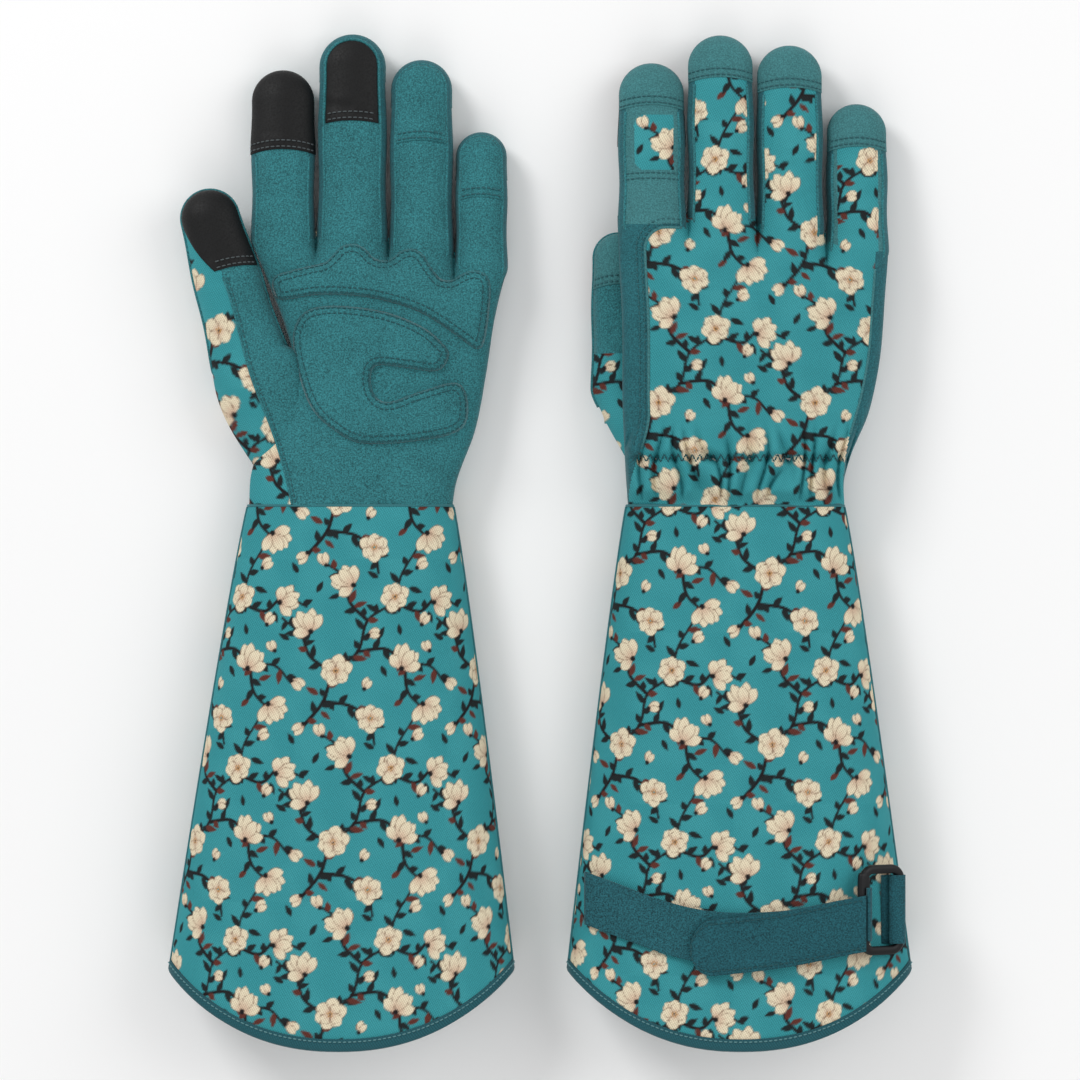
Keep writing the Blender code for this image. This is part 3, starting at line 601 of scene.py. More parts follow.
def printColour(across, along, shift=(0, 0)):
    # the repeat read between its own points at places on the cloth, in mm
    rows, columns = tilePicture.shape[:2]
    x = ((across + shift[0]) / printDesign["cell"]) % columns
    y = ((along + shift[1]) / printDesign["cell"]) % rows
    x0, y0 = np.floor(x).astype(int), np.floor(y).astype(int)
    fx, fy = (x - x0)[..., None], (y - y0)[..., None]
    x0, y0 = x0 % columns, y0 % rows
    x1, y1 = (x0 + 1) % columns, (y0 + 1) % rows
    low = tilePicture[y0, x0] * (1 - fx) + tilePicture[y0, x1] * fx
    high = tilePicture[y1, x0] * (1 - fx) + tilePicture[y1, x1] * fx
    return low * (1 - fy) + high * fy


clothShape = {
    "power": 2.5,
    "cuffHemHalf": 23.0,
    "cuffTopHalf": 15.0,
    "cuffLength": 229.3,
    "hemRise": 32.0,
    "handHalf": 12.5,
    "knuckleHalf": 11.0,
    "tipHalf": 8.6,
    "bindingWidth": 5.4,
    "strapHollow": (8.2, -162.75, 48.15, 16.0),  # height, middle, half length and ramp of the hollow over a strap
    "panelEdge": 36.0,  # degrees above the middle plane, where a finger's front panel ends
}

gloves = {
    "left": {
        "palm": 1, "printShift": (21, 9),
        "printSeam": [(13, -104.6), (23.5, -106.8), (44.3, -113.1), (70.5, -122.9), (84.9, -126.7), (107.4, -133),
                      (139.6, -149.5)],
        "cuffTop": (-80.5, 43.4), "cuffHem": (-84.7, 77.1),
        "thumbSide": [(0, -123.6), (12, -123.0), (40, -112.5), (65, -105.4), (75, -108.0), (94, -115.2), (113, -122.8)],
        "littleSide": [(0, -37.2), (8, -36.0), (32, -27.6), (58, -22.6), (80, -19.2), (94, -16.0), (101, -14.1),
                       (113, -13.6)],
        "midThumb": [(0, 14.3), (12, 14.4), (40, 13.0), (113, 11.6)],
        "midLittle": [(0, 14.3), (12, 14.4), (40, 13.0), (113, 11.6)],
        "digits": {
            "index": {"half": (13.8, 13.6), "length": 72.8, "tipZ": 8.7},
            "middle": {"half": (15.2, 14.6), "length": 88.5, "tipZ": 8.7},
            "ring": {"half": (13.9, 13.4), "length": 83.0, "tipZ": 8.7},
            "little": {"half": (11.4, 11.1), "length": 58.6, "tipZ": 8.7},
        },
        "thumb": {"half": (16.4, 12.4), "height": (10.6, 9.2), "length": 75.6, "tipZ": 16.0, "lean": 15.7,
                  "plainFrom": 60.0, "slant": 62.0, "swell": 6.0, "root": ((-106.0, 47.0, 13.4), 70.0, 28.0, 8.8)},
        "strap": (-123.0, -50.0), "tab": -112.0, "buckleTilt": 0.0,
    },
    "right": {
        "palm": -1, "printShift": (3, 40),
        "printSeam": [(13, 46.0), (40, 40.0), (62, 28.0), (90, 26.0), (118, 24.0)],
        "cuffTop": (83.0, 46.0), "cuffHem": (84.6, 76.4),
        "thumbSide": [(0, 37.4), (10, 36.6), (40, 35.0), (80, 34.6), (100, 33.6), (119, 32.8)],
        "littleSide": [(0, 129.4), (10, 129.0), (20, 131.4), (39, 139.2), (55, 143.0), (92, 146.6), (119, 148.4)],
        "midThumb": [(0, 14.3), (9, 17.5), (25, 23.2), (60, 29.5), (119, 29.0)],
        "midLittle": [(0, 14.3), (9, 16.5), (25, 19.5), (60, 19.0), (119, 17.5)],
        "digits": {
            "index": {"half": (14.6, 14.2), "length": 70.3, "tipZ": 9.6},
            "middle": {"half": (14.5, 14.2), "length": 79.2, "tipZ": 9.0},
            "ring": {"half": (14.5, 14.2), "length": 80.4, "tipZ": 8.8},
            "little": {"half": (13.6, 13.0), "length": 63.9, "tipZ": 8.7},
        },
        "thumb": {"half": (11.0, 10.6), "height": (10.0, 9.2), "length": 67.0, "tipZ": 10.8, "lean": 0.0,
                  "plainFrom": 15.5, "slant": 0.0, "swell": 1.5, "root": ((42.0, 42.0, 22.0), 90.0, 19.0, 8.0)},
        "strap": (18.6, 122.0), "tab": 63.0, "buckleTilt": 30.0,
    },
}


def jointPlace(name):
    return np.array(joints[name]["pos_m"]) / mm


def section(angle, halfWidth, halfHeight):
    # a superellipse: each coordinate is a power of the cosine or sine of the angle round it
    power = 2 / clothShape["power"]
    cos, sin = np.cos(angle), np.sin(angle)
    return halfWidth * np.sign(cos) * np.abs(cos) ** power, halfHeight * np.sign(sin) * np.abs(sin) ** power


def evenAngles(count, halfWidth, halfHeight):
    # angles from pi to 0 whose points are evenly spaced round half a section
    fine = np.linspace(math.pi, 0, 6000)
    across, up = section(fine, halfWidth, halfHeight)
    places = pathLengths(np.stack([across, up], axis=1))
    return np.interp(np.linspace(0, places[-1], count), places, fine)


class CuffTube:
    # the cuff's surface: superellipse rings from the wrist, where share is 0, down to the hem, where it is 1
    def __init__(self, side, glove):
        self.glove, self.side = glove, side
        self.wrist = jointPlace(f"{side}_wrist_bend")[1]
        self.low = self.wrist - clothShape["cuffLength"]
        self.seed = 11 if side == "left" else 23

    def share(self, y):
        return np.clip((self.wrist - y) / clothShape["cuffLength"], 0, 1)

    def middle(self, y):
        return self.glove["cuffTop"][0] + (self.glove["cuffHem"][0] - self.glove["cuffTop"][0]) * self.share(y)

    def halfWidth(self, y):
        top, hem = self.glove["cuffTop"][1], self.glove["cuffHem"][1]
        return top + (hem - top) * self.share(y) ** 0.9  # nearly straight sides

    def halfHeight(self, y):
        top, hem = clothShape["cuffTopHalf"], clothShape["cuffHemHalf"]
        return top + (hem - top) * self.share(y) ** 0.6  # fills quickly below the wrist

    def hemY(self, across):
        # the hem rises to both sides with the power 2.2 of the distance across
        return self.low + clothShape["hemRise"] * np.abs(across) ** 2.2

    def floor(self, y):
        # the table, or the top of the strap that lies under a palm-up cuff
        if self.glove["palm"] < 0:
            return np.zeros_like(y)
        rise, middle, reach, ramp = clothShape["strapHollow"]
        return rise * np.clip((reach - np.abs(y - middle)) / ramp, 0, 1)

    def wrinkle(self, x, y):
        # long soft folds that fade to nothing at the sewn hem and at the wrist
        calm = smooth(self.low, self.low + 30, y) * smooth(self.wrist, self.wrist - 25, y)
        folds = 0.55 * ripple(x * 1.0, y * 0.35, 46, self.seed) + 0.22 * ripple(x, y, 19, self.seed + 1)
        return folds * (0.35 + 0.65 * calm) - 0.2

    def points(self, y, angle, inset):
        # a superellipse at each height, moved in by inset and up or down by its folds, never below the table
        y, angle = np.broadcast_arrays(y, angle)
        half = self.halfHeight(y)
        across, up = section(angle, self.halfWidth(y) - inset, half - inset)
        x = self.middle(y) + across
        lift = self.wrinkle(x, y) * smooth(0.05, 0.5, np.abs(np.sin(angle)))
        up = up + lift * np.sign(np.sin(angle))
        height = np.maximum(half - 0.8 + up, self.floor(y) + inset + 0.02)
        return np.stack([x, y, height], axis=-1)

    def back(self, x, y):
        # the height of the face away from the palm: the superellipse solved for its height
        half = self.halfHeight(y)
        share = np.clip(np.abs(x - self.middle(y)) / self.halfWidth(y), 0, 0.999)
        power = clothShape["power"]
        up = half * (1 - share**power) ** (1 / power)
        if self.glove["palm"] < 0:
            return half - 0.8 + up + self.wrinkle(x, y) * 0.6
        return np.maximum(half - 0.8 - up, self.floor(y))


class HandTube:
    # the hand's surface: one outline for each side, one middle height for each side, and a height over them
    def __init__(self, side, glove, digits):
        self.glove, self.side, self.digits = glove, side, list(digits.values())
        self.wrist = jointPlace(f"{side}_wrist_bend")[1]
        self.seed = 41 if side == "left" else 57

    def sides(self, y):
        return ease(self.glove["thumbSide"], y - self.wrist), ease(self.glove["littleSide"], y - self.wrist)

    def knuckles(self, x):
        # the hinge line across the hand
        places = [digit.hinge[0] for digit in self.digits]
        return np.interp(x, places, [digit.hinge[1] for digit in self.digits])

    def halfHeight(self, y):
        top, hand, knuckle = clothShape["cuffTopHalf"], clothShape["handHalf"], clothShape["knuckleHalf"]
        return ease([(0, top - 0.1), (35, hand), (85, hand), (122, knuckle)], y - self.wrist)

    def gathers(self, x, y):
        # pleats of the elasticated wrist: rounded ridges across, pinched along the elastic
        above = y - self.wrist
        amount = smooth(0.3, 7, above) * smooth(38, 21, above)
        wander = 1.5 * ripple(x, y * 0.35, 21, 5)
        pleat = 1 - np.abs(np.sin(x * math.pi / 7.2 + wander)) ** 0.9
        pinch = -3.2 * np.exp(-((above - 20.0) / 2.0) ** 2)
        return amount * (4.6 * (1 - pleat**1.5) - 0.6) + pinch * (0.7 + 0.5 * pleat)

    def height(self, x, y, sign):
        # the tube's own height, then the fingers' rounds over its last stretch, then a dip under their cloth
        left, right = self.sides(y)
        share = np.clip((x - left) / (right - left), -0.1, 1.1)
        low, high = ease(self.glove["midThumb"], y - self.wrist), ease(self.glove["midLittle"], y - self.wrist)
        across = np.clip(np.abs(share - 0.5) * 2, 0, 1)
        power = clothShape["power"]
        up = self.halfHeight(y) * (1 - across**power) ** (1 / power)
        soft = 0.35 * ripple(x, y, 30, self.seed) + 0.16 * ripple(x, y, 13, self.seed + 1)
        lift = soft + (self.gathers(x, y) if sign != self.glove["palm"] else 0)
        tube = low + (high - low) * share + sign * (up + lift * smooth(0, 5, up))
        nearest, best = np.zeros_like(x) + tube, np.full(x.shape, 9.0)
        for digit in self.digits:
            u = y - digit.hinge[1]
            half, tall = digit.sizes(np.maximum(u, 2.0), 0.0)
            out = np.abs(x - digit.hinge[0]) / half
            middle = digit.hinge[2] + (digit.tipZ - digit.hinge[2]) * u / digit.length
            dome = middle + sign * tall * np.sqrt(np.maximum(0, 1 - np.minimum(out, 1) ** 2))
            nearest = np.where(out < best, dome, nearest)
            best = np.minimum(best, out)
        line = self.knuckles(x)
        blend = smooth(line - 17, line + 0.5, y)
        sink = 1.6 * smooth(line + 0.5, line + 4.5, y)
        return tube * (1 - blend) + nearest * blend - sign * sink

    def points(self, y, angle, sign):
        y, angle = np.broadcast_arrays(y, angle)
        left, right = self.sides(y)
        x = (left + right) / 2 + section(angle, (right - left) / 2, 1.0)[0]
        return np.stack([x, y, np.maximum(self.height(x, y, sign), 0.02)], axis=-1)


class DigitTube:
    # a flattened capsule: round and up from a U-shaped outline, by an angle of latitude
    def __init__(self, spec, hinge, height, seed):
        self.hinge, self.half, self.length = hinge, spec["half"], spec["length"]
        self.tipZ, self.height, self.seed = spec["tipZ"], height, seed
        lean = math.radians(spec.get("lean", 0.0))
        self.along = np.array([-math.sin(lean), math.cos(lean)])
        self.across = np.array([math.cos(lean), math.sin(lean)])
        self.roundFrom = self.length - self.half[1]
        self.start = -14.0

    def qAt(self, u):
        return (u - self.start) / (self.roundFrom - self.start)

    def sizes(self, u, lift):
        # half width and height: straight tapers, a slight waist by a squared sine, and a tuck before the hinge
        share = np.clip(u / self.roundFrom, 0, 1)
        half = self.half[0] + (self.half[1] - self.half[0]) * share
        height = self.height[0] + (self.height[1] - self.height[0]) * share
        waist = 1 - 0.045 * np.sin(np.clip(u / self.roundFrom, 0, 1) * math.pi * 1.6) ** 2
        tuck = 1 - 0.46 * smooth(1, self.start, u)
        return half * waist * tuck + lift, height * tuck + lift

    def place(self, u, v, up):
        # a point from its distances along, across and above the digit's own line
        share = u / self.length
        x = self.hinge[0] + self.along[0] * u + self.across[0] * v
        y = self.hinge[1] + self.along[1] * u + self.across[1] * v
        z = self.hinge[2] + (self.tipZ - self.hinge[2]) * share + up
        return np.stack([x, y, np.maximum(z, 0.05)], axis=-1)

    def surface(self, q, rise, lift=0.0):
        # q runs 0 to 1 up the left side, 1 to 2 round the tip and 2 to 3 down the right side; rise is the angle
        # above the middle plane, so the width goes with its cosine and the height with its sine
        q, rise = np.broadcast_arrays(q, rise)
        run = self.roundFrom - self.start
        u = np.where(q < 1, self.start + q * run, np.where(q > 2, self.start + (3 - q) * run, self.roundFrom))
        half, height = self.sizes(u, lift)
        turn = np.clip(q - 1, 0, 1) * math.pi
        flat = half * np.cos(rise)
        v = -np.cos(turn) * flat
        reach = u + np.where((q >= 1) & (q <= 2), np.sin(turn) * flat, 0)
        up = np.sin(rise) * (height + self.creases(reach, v, rise))
        return self.place(reach, v, up)

    def creases(self, reach, v, rise):
        # two sizes of soft wave over the cloth, none at the hinge or near the tip
        waves = 0.30 * ripple(reach, v + rise * 4, 14, self.seed) + 0.16 * ripple(reach, v - rise * 7, 7, self.seed + 1)
        return waves * smooth(1, 12, reach) * smooth(self.length - 22, self.length - 34, reach)

    def rimPath(self, rise, lift, q0=0.16, q1=2.84, count=160):
        q = np.linspace(q0, q1, count)
        path = self.surface(q, rise, lift)
        normals = self.surface(q, rise, lift + 1.0) - path
        return path, normals

    def crossPath(self, side, u, rise, lift, bow=2.0, count=48, slant=0.0):
        # a line over the front or back at one distance from the hinge, bowed a little to the tip
        low = math.radians(rise)
        turn = np.linspace(math.pi - low - math.radians(slant), low, count)
        half, height = self.sizes(np.full(count, float(u)), lift)
        v = half * np.cos(turn)
        reach = u + bow * (1 - (v / half) ** 2)
        path = self.place(reach, v, self.heightOver(side, reach, v, half, height))
        lean = 0.4 * v
        normals = np.stack([lean * self.across[0], lean * self.across[1], side * (half * np.sin(turn) + 1)], axis=-1)
        return path, normals

    def heightOver(self, side, reach, v, half, height):
        # the top of an ellipse across the digit, closing to a dome over the tip
        radius = np.hypot(np.maximum(reach - self.roundFrom, 0), v) / half
        sine = np.sqrt(np.maximum(0, 1 - np.minimum(radius, 1) ** 2))
        return side * sine * (height + self.creases(reach, v, side * np.arcsin(sine)))

    def cap(self, side, u, rise, lift, bow=2.0, rows=44, columns=44, slant=0.0):
        # a patch from a bowed line out to the tip: shares of the way from the line to the rim;
        # slant pulls the near end of its left edge in, by an angle
        low = math.radians(rise)
        share = np.linspace(0, 1, rows)[:, None]
        left = math.pi - low - math.radians(slant) * (1 - share)
        turn = left + (low - left) * np.linspace(0, 1, columns)[None, :]
        tipHalf = self.sizes(np.float64(self.roundFrom), lift)[0]
        rim = tipHalf * np.cos(turn[-1:])
        far = self.roundFrom + np.sqrt(np.maximum((tipHalf * math.cos(low)) ** 2 - rim**2, 0))
        near = u + bow * np.sin(turn[:1]) ** 2
        reach = near + (far - near) * share
        half, height = self.sizes(np.minimum(reach, self.roundFrom), lift)
        v = half * np.cos(turn)
        return self.place(reach, v, self.heightOver(side, reach, v, half, height))


def ride(piece, body, tint, *nodes):
    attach(piece, body)
    if nodes:
        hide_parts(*nodes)


# a piece that spans a joint: its placement is baked into its points, and the nodes it stands for are hidden
def blendAcross(piece, near, far, joint, axis, reach, tint, *nodes):
    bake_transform(piece)
    if nodes:
        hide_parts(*nodes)


cuffLook = {"rows": 370, "columns": 262, "liningInset": 1.3, "usedShare": 0.80}


def blendWrist(piece, side, tint, *nodes):
    blendAcross(piece, f"{side}_cuff", f"{side}_hand", f"{side}_wrist_bend", (0, 1, 0), 16, tint, *nodes)


def buildCuff(side, glove):
    tube = CuffTube(side, glove)
    palm = glove["palm"]
    wristY = tube.wrist
    rows = np.linspace(0, 1, cuffLook["rows"])[:, None]
    names = {palm: "palm", -palm: "back"}
    for face in (1, -1):
        angle = face * evenAngles(cuffLook["columns"], 62, 20)[None, :]
        across = section(angle, 1.0, 1.0)[0]
        low = tube.hemY(across) + clothShape["bindingWidth"] - 1.5
        y = wristY + (low - wristY) * rows
        grid = tube.points(y, angle * np.ones_like(y), 0.0)
        steps = np.cumsum(np.linalg.norm(np.diff(grid, axis=1), axis=2), axis=1)
        girth = np.concatenate([np.zeros((len(y), 1)), steps], axis=1)
        girth = girth - girth[:, -1:] / 2
        colour = printColour(girth + (0 if face == 1 else 31), y, glove["printShift"])
        name = names[face]
        piece = gridPiece(f"{side}_cuffCloth_{name}", grid, printed, flip=face == 1, colour=colour,
                          cloth=onCloth(girth, y))
        blendWrist(piece, side, "print", f"{side}_cuff_{name}_panel")
    # lining: the same tube, inset, seen from inside the open cuff
    angle = np.linspace(0, 2 * math.pi, 161)[:-1][None, :]
    across = section(angle, 1.0, 1.0)[0]
    low = tube.hemY(across) + 2.0
    shares = np.linspace(0, 1, 90)[:, None]
    y = wristY - 1 + (low - wristY + 1) * shares
    turned = angle * np.ones_like(y)
    grid = tube.points(y, turned, cuffLook["liningInset"])
    lining = gridPiece(f"{side}_cuffLining", grid, liningCloth, wrap=True, cloth=onCloth(turned * 60, y))
    blendWrist(lining, side, "print")
    # side seams: a narrow welt down each edge
    for number, turn in enumerate((0.0, math.pi)):
        y = np.linspace(wristY - 0.5, float(tube.hemY(np.array(1.0))) + 4, 120)
        path = tube.points(y, np.full_like(y, turn), -0.15)
        welt = meshPiece(f"{side}_cuffSeam_{number}", *tubeMesh(path, 0.6, 8), [seamTeal])
        ride(welt, f"{side}_cuff", "print")
    return tube


bindingLook = {"turns": 220, "overlap": 0.75, "stitchInset": 4.3}


def buildBinding(side, tube):
    # the tape folds round the cloth's edge: a U section swept round the hem
    angle = np.linspace(0, 2 * math.pi, bindingLook["turns"] + 1)[:-1]
    across = section(angle, 1.0, 1.0)[0]
    low = tube.hemY(across)
    wide = clothShape["bindingWidth"]
    puff = bindingLook["overlap"]
    profile = [(wide, -puff * 0.7), (wide * 0.7, -puff), (1.6, -puff), (0.5, -puff * 0.4), (0.0, 0.8),
               (0.5, 2.0), (1.6, 2.5), (wide, 2.3), (wide, 1.6), (2.0, 1.4), (1.6, 0.8), (2.0, 0.1), (wide, 0.1)]
    rings = [tube.points(low + up, angle, inset) for up, inset in profile]
    grid = np.stack(rings, axis=1)
    around = np.repeat(pathLengths(grid[:, 4])[:, None], len(profile), 1)
    cloth = onCloth(around, np.cumsum(np.full(around.shape, 2.0), axis=1))
    piece = gridPiece(f"{side}_hemTape", grid, bindingTape, wrap=True, closed=True, cloth=cloth)
    faceOut(piece)
    ride(piece, f"{side}_cuff", "binding", f"{side}_hem_binding")
    rows = []
    for face in (1, -1):
        turn = face * np.linspace(0.05, math.pi - 0.05, 240)
        y = tube.hemY(section(turn, 1.0, 1.0)[0]) + bindingLook["stitchInset"]
        path = tube.points(y, turn, -puff - 0.1)
        normals = tube.points(y, turn, -puff - 1.1) - path
        rows.append(stitchRow(path, normals, 2.1, 1.5, 0.3))
    stitchPiece(f"{side}_hemStitches", rows, threadLight, f"{side}_cuff", "binding")


handLook = {
    "rows": 190, "columns": 170,
    "stripThumb": 10.4, "stripLittle": 5.6,  # widths of the suede strips beside the printed back
    "corner": 9.0, "panelTop": -1.5,  # the printed back's rounded corner, and its top from the index hinge
}


def isPlainBack(hand, x, y):
    # suede strips down both edges of the printed back, with a rounded corner below the index finger
    left, right = hand.sides(y)
    above = y - hand.wrist
    strip = handLook["stripThumb"] * smooth(2, 40, above) + 0.5
    plain = (x < left + strip) | (x > right - handLook["stripLittle"] * smooth(4, 40, above))
    index = hand.digits[0]
    top = index.hinge[1] + handLook["panelTop"]
    corner = handLook["corner"]
    dx = np.maximum(left + strip + corner - x, 0)
    dy = np.maximum(y - (top - corner), 0)
    onIndex = x < index.hinge[0] + index.half[0]
    return plain | (onIndex & ((np.hypot(dx, dy) > corner) | (y > top)))


def faceCentres(grid):
    middle = (grid[:-1, :-1] + grid[1:, 1:]) / 2
    return middle[..., 0], middle[..., 1]


def isPrintedPalm(glove, x, y):
    # the printed panel along the thumb's outer side
    seam = glove["printSeam"]
    return (x < ease(seam, y)) & (y < seam[-1][0])


def buildHand(side, glove, hand):
    palm = glove["palm"]
    rows = np.linspace(0, 1, handLook["rows"])[:, None]
    made = {}
    for face in (1, -1):
        isBack = face != palm
        angle = face * evenAngles(handLook["columns"], 50, 12.5)[None, :]
        x = hand.points(hand.wrist + rows * 112, angle, face)[..., 0]
        end = hand.knuckles(x) + 4.0
        y = hand.wrist + (end - hand.wrist) * rows
        grid = hand.points(y, angle, face)
        name = "back" if isBack else "palm"
        shift = (glove["printShift"][0] + 30, glove["printShift"][1])
        colour = printColour(grid[..., 0], y, shift)
        plain = isPlainBack(hand, *faceCentres(grid)) if isBack else ~isPrintedPalm(glove, *faceCentres(grid))
        piece = gridPiece(f"{side}_handCloth_{name}", grid, [printed, suedeDark if isBack else suede], flip=face == 1,
                          colour=colour, cloth=onCloth(grid[..., 0], y), slots=plain.astype(int).ravel())
        blendWrist(piece, side, "print" if isBack else "suede", f"{side}_{name}_panel")
        made[name] = piece
    # wrist seam: a welt round the tube where the hand joins the cuff
    angle = np.linspace(0, 2 * math.pi, 181)[:-1]
    path = CuffTube(side, glove).points(np.full_like(angle, hand.wrist), angle, -0.1)
    seam = meshPiece(f"{side}_wristWelt", *tubeMesh(path, 0.6, 8, up=(0, 1, 0), closed=True), [seamTeal])
    blendWrist(seam, side, "suede")
    backSeams(side, hand, made["back"])
    return made


def sew(name, pieces, path, up, body, thread, tint, pitch=2.3, length=1.7, radius=0.28, welt=0.0, weltMaterial=None):
    # stitches laid along a path on finished cloth, and a low welt beside them
    points, normals = layOn(pieces, evenly(path, 0.8), up, 0.05)
    if len(points) < 4:
        return
    if welt:
        ride(meshPiece(name + "_welt", *tubeMesh(points, welt, 8, up=normals), [weltMaterial]), body, tint)
    stitchPiece(name, [stitchRow(points, normals, pitch, length, radius)], thread, body, tint)


def sideways(path, distance):
    # a copy of a flat path, moved to its left by a distance
    path = np.asarray(path, float)
    ahead = unit(np.gradient(path, axis=0))
    return path + np.stack([-ahead[:, 1], ahead[:, 0]], axis=1) * distance


def backSeams(side, hand, cloth):
    # double rows round the printed back, and the zig-zag line that holds the elastic
    up = -hand.glove["palm"]
    body = f"{side}_hand"
    index = hand.digits[0]
    top = index.hinge[1] + handLook["panelTop"]
    corner = handLook["corner"]
    y = np.linspace(hand.wrist + 24, top - corner, 70)
    left, right = hand.sides(y)
    edge = left + handLook["stripThumb"] * smooth(2, 40, y - hand.wrist) + 0.5
    turn = np.linspace(math.pi, math.pi / 2, 14)[1:]
    bend = np.stack([edge[-1] + corner + corner * np.cos(turn), top - corner + corner * np.sin(turn)], axis=1)
    across = np.array([[index.hinge[0] + index.half[0] - 2.5, top]])
    path = np.concatenate([np.stack([edge, y], axis=1), bend, across])
    sew(f"{side}_backSeam", [cloth], path, up, body, threadTeal, "suede", welt=0.55, weltMaterial=suedeBack)
    for number, away in enumerate((1.5, 3.6)):
        sew(f"{side}_backStitches_{number}", [cloth], sideways(evenly(path, 1.0), away), up, body, threadTeal, "suede")
    y = np.linspace(hand.wrist + 30, hand.wrist + 100, 70)
    right = hand.sides(y)[1]
    path = np.stack([right - handLook["stripLittle"] * smooth(4, 40, y - hand.wrist), y], axis=1)
    sew(f"{side}_backEdge", [cloth], path, up, body, threadTeal, "suede", welt=0.5, weltMaterial=suedeBack)
    x = np.linspace(*[hand.sides(np.float64(hand.wrist + 20))[i] + (3, -3)[i] for i in (0, 1)], 61)
    y = hand.wrist + 20 + 1.7 * np.where(np.arange(61) % 2, 1, -1)
    sew(f"{side}_gatherLine", [cloth], np.stack([x, y], axis=1), up, body, threadDark, "suede", 1.9, 1.7, 0.34)


digitLook = {
    "around": 300, "panelSteps": 30, "gussetSteps": 18, "pipe": 0.7,
    "backTip": 21.0, "palmTips": {"index": 36.5, "middle": 40.0, "ring": 37.5, "little": 30.5, "thumb": 37.0},
    "window": (23.0, 47.0, 7.6), "windowCorner": 5.0,  # the index finger's print: from, to, and half its width
    "sideStrip": 5.0,
}


def isPlainDigit(name, digit, x, y):
    # the index finger is suede round its printed window; the little finger has a suede strip down each side
    u, v = y - digit.hinge[1], x - digit.hinge[0]
    if name == "index":
        low, high, half = digitLook["window"]
        corner = digitLook["windowCorner"]
        dx = np.maximum(-half + corner - v, 0)
        dy = np.maximum(np.maximum(low + corner - u, u - high + corner), 0)
        return (v > half + 1.5) | (u < low) | (np.hypot(dx, dy) > corner)
    if name == "little":
        return np.abs(v) > digit.half[0] - digitLook["sideStrip"]
    return v > 99


def digitPieces(side, name, digit, palm, body, near, joint, shift):
    edge = math.radians(clothShape["panelEdge"])
    upper = np.linspace(edge, math.pi / 2, digitLook["panelSteps"])
    lower = np.linspace(-edge, edge, digitLook["gussetSteps"])
    made = []
    for part, rise in (("front", upper * palm), ("gusset", lower), ("back", upper * -palm)):
        dense = part == "back"
        q = np.linspace(0, 3, (digitLook["around"] if dense else digitLook["around"] // 2) + 1)[:, None]
        rise = rise if dense else rise[::2] if len(rise) % 2 else np.concatenate([rise[::2], rise[-1:]])
        grid = digit.surface(q, rise[None, :])
        colour = printColour(grid[..., 0], grid[..., 1], shift)
        if dense:
            materials, plain = [printed, suedeBack], isPlainDigit(name, digit, *faceCentres(grid)).astype(int)
        else:
            materials, plain = [suede if part == "front" else suedeDark], np.zeros(np.array(grid.shape[:2]) - 1, int)
        piece = gridPiece(f"{side}_{name}_{part}Cloth", grid, materials, flip=rise[-1] < rise[0], colour=colour,
                          cloth=drape(grid), slots=plain.ravel())
        closeSeams(piece)
        made.append((piece, "print" if dense else "suede", f"{side}_{name}_{part}"))
    # piping along both edges of the gusset, cut short where a cap covers the whole tip
    for number, sign in enumerate((1, -1)):
        spans = [(0.12, 2.88)]
        if sign != palm or name == "index":
            cover = digitLook["palmTips"][name] if sign == palm else digitLook["backTip"]
            capAt = digit.qAt(digit.length - cover - 1)
            spans = [(0.12, capAt), (3 - capAt, 2.88)]
        for part, (first, last) in enumerate(spans):
            path, normals = digit.rimPath(sign * edge, 0.05, first, last, 160)
            tube = tubeMesh(path, digitLook["pipe"], 8, up=normals)
            made.append((meshPiece(f"{side}_{name}_welt_{number}{part}", *tube, [suede]), "suede", None))
    for piece, tint, node in made:
        blendAcross(piece, near, body, joint, (0, 1, 0), 9, tint, *([node] if node else []))


def stitchPair(name, digit, sideSign, u, body, thread, tint, lift, rise, slant):
    rows = []
    for step in (0, 2.6):
        path, normals = digit.crossPath(sideSign, u + step, rise, lift, slant=slant)
        rows.append(stitchRow(path, normals, 2.3, 1.75, 0.3))
    stitchPiece(name, rows, thread, body, tint)


def tipPatch(name, digit, sideSign, start, body, material, tint, rise, lift=0.4, node=None, thread=None, slant=0.0):
    # a cap or touch patch over one face of a tip, with two rows of stitches along its near edge
    grid = digit.cap(sideSign, start, rise, lift, slant=slant)
    piece = gridPiece(name, grid, material, flip=sideSign < 0, wall=0.5, cloth=onCloth(grid[..., 0], grid[..., 1]))
    ride(piece, body, tint, *([node] if node else []))
    stitchPair(name + "_stitches", digit, sideSign, start + 1.2, body, thread or threadTeal, tint, lift + 0.15,
               rise + 4, slant)


def buildDigits(side, glove):
    # the four fingers, each with a back cap and a touch patch or plain cap on the palm side
    palm = glove["palm"]
    digits = {}
    for number, (name, spec) in enumerate(glove["digits"].items()):
        hinge = jointPlace(f"{side}_{name}_bend")
        digit = DigitTube(spec, hinge, (clothShape["knuckleHalf"] + 0.1, clothShape["tipHalf"]), 70 + number)
        digits[name] = digit
        body = f"{side}_{name}"
        shift = (glove["printShift"][0] + 30, glove["printShift"][1])
        digitPieces(side, name, digit, palm, body, f"{side}_hand", f"{side}_{name}_bend", shift)
        start = digit.length - digitLook["backTip"]
        tipPatch(f"{side}_{name}_backCap", digit, -palm, start, body, suedeBack, "suede", 10)
        start = digit.length - digitLook["palmTips"][name]
        if name in ("index", "middle"):
            tipPatch(f"{side}_{name}_touchPatch", digit, palm, start, body, touchSkin, "touch",
                     10 if name == "index" else 42, 0.45, f"{side}_{name}_touch_tip", threadGrey)
        else:
            tipPatch(f"{side}_{name}_palmCap", digit, palm, start, body, suede, "suede", 39)
        if name == "index":
            windowSeam(side, digit, -palm, body)
    return digits


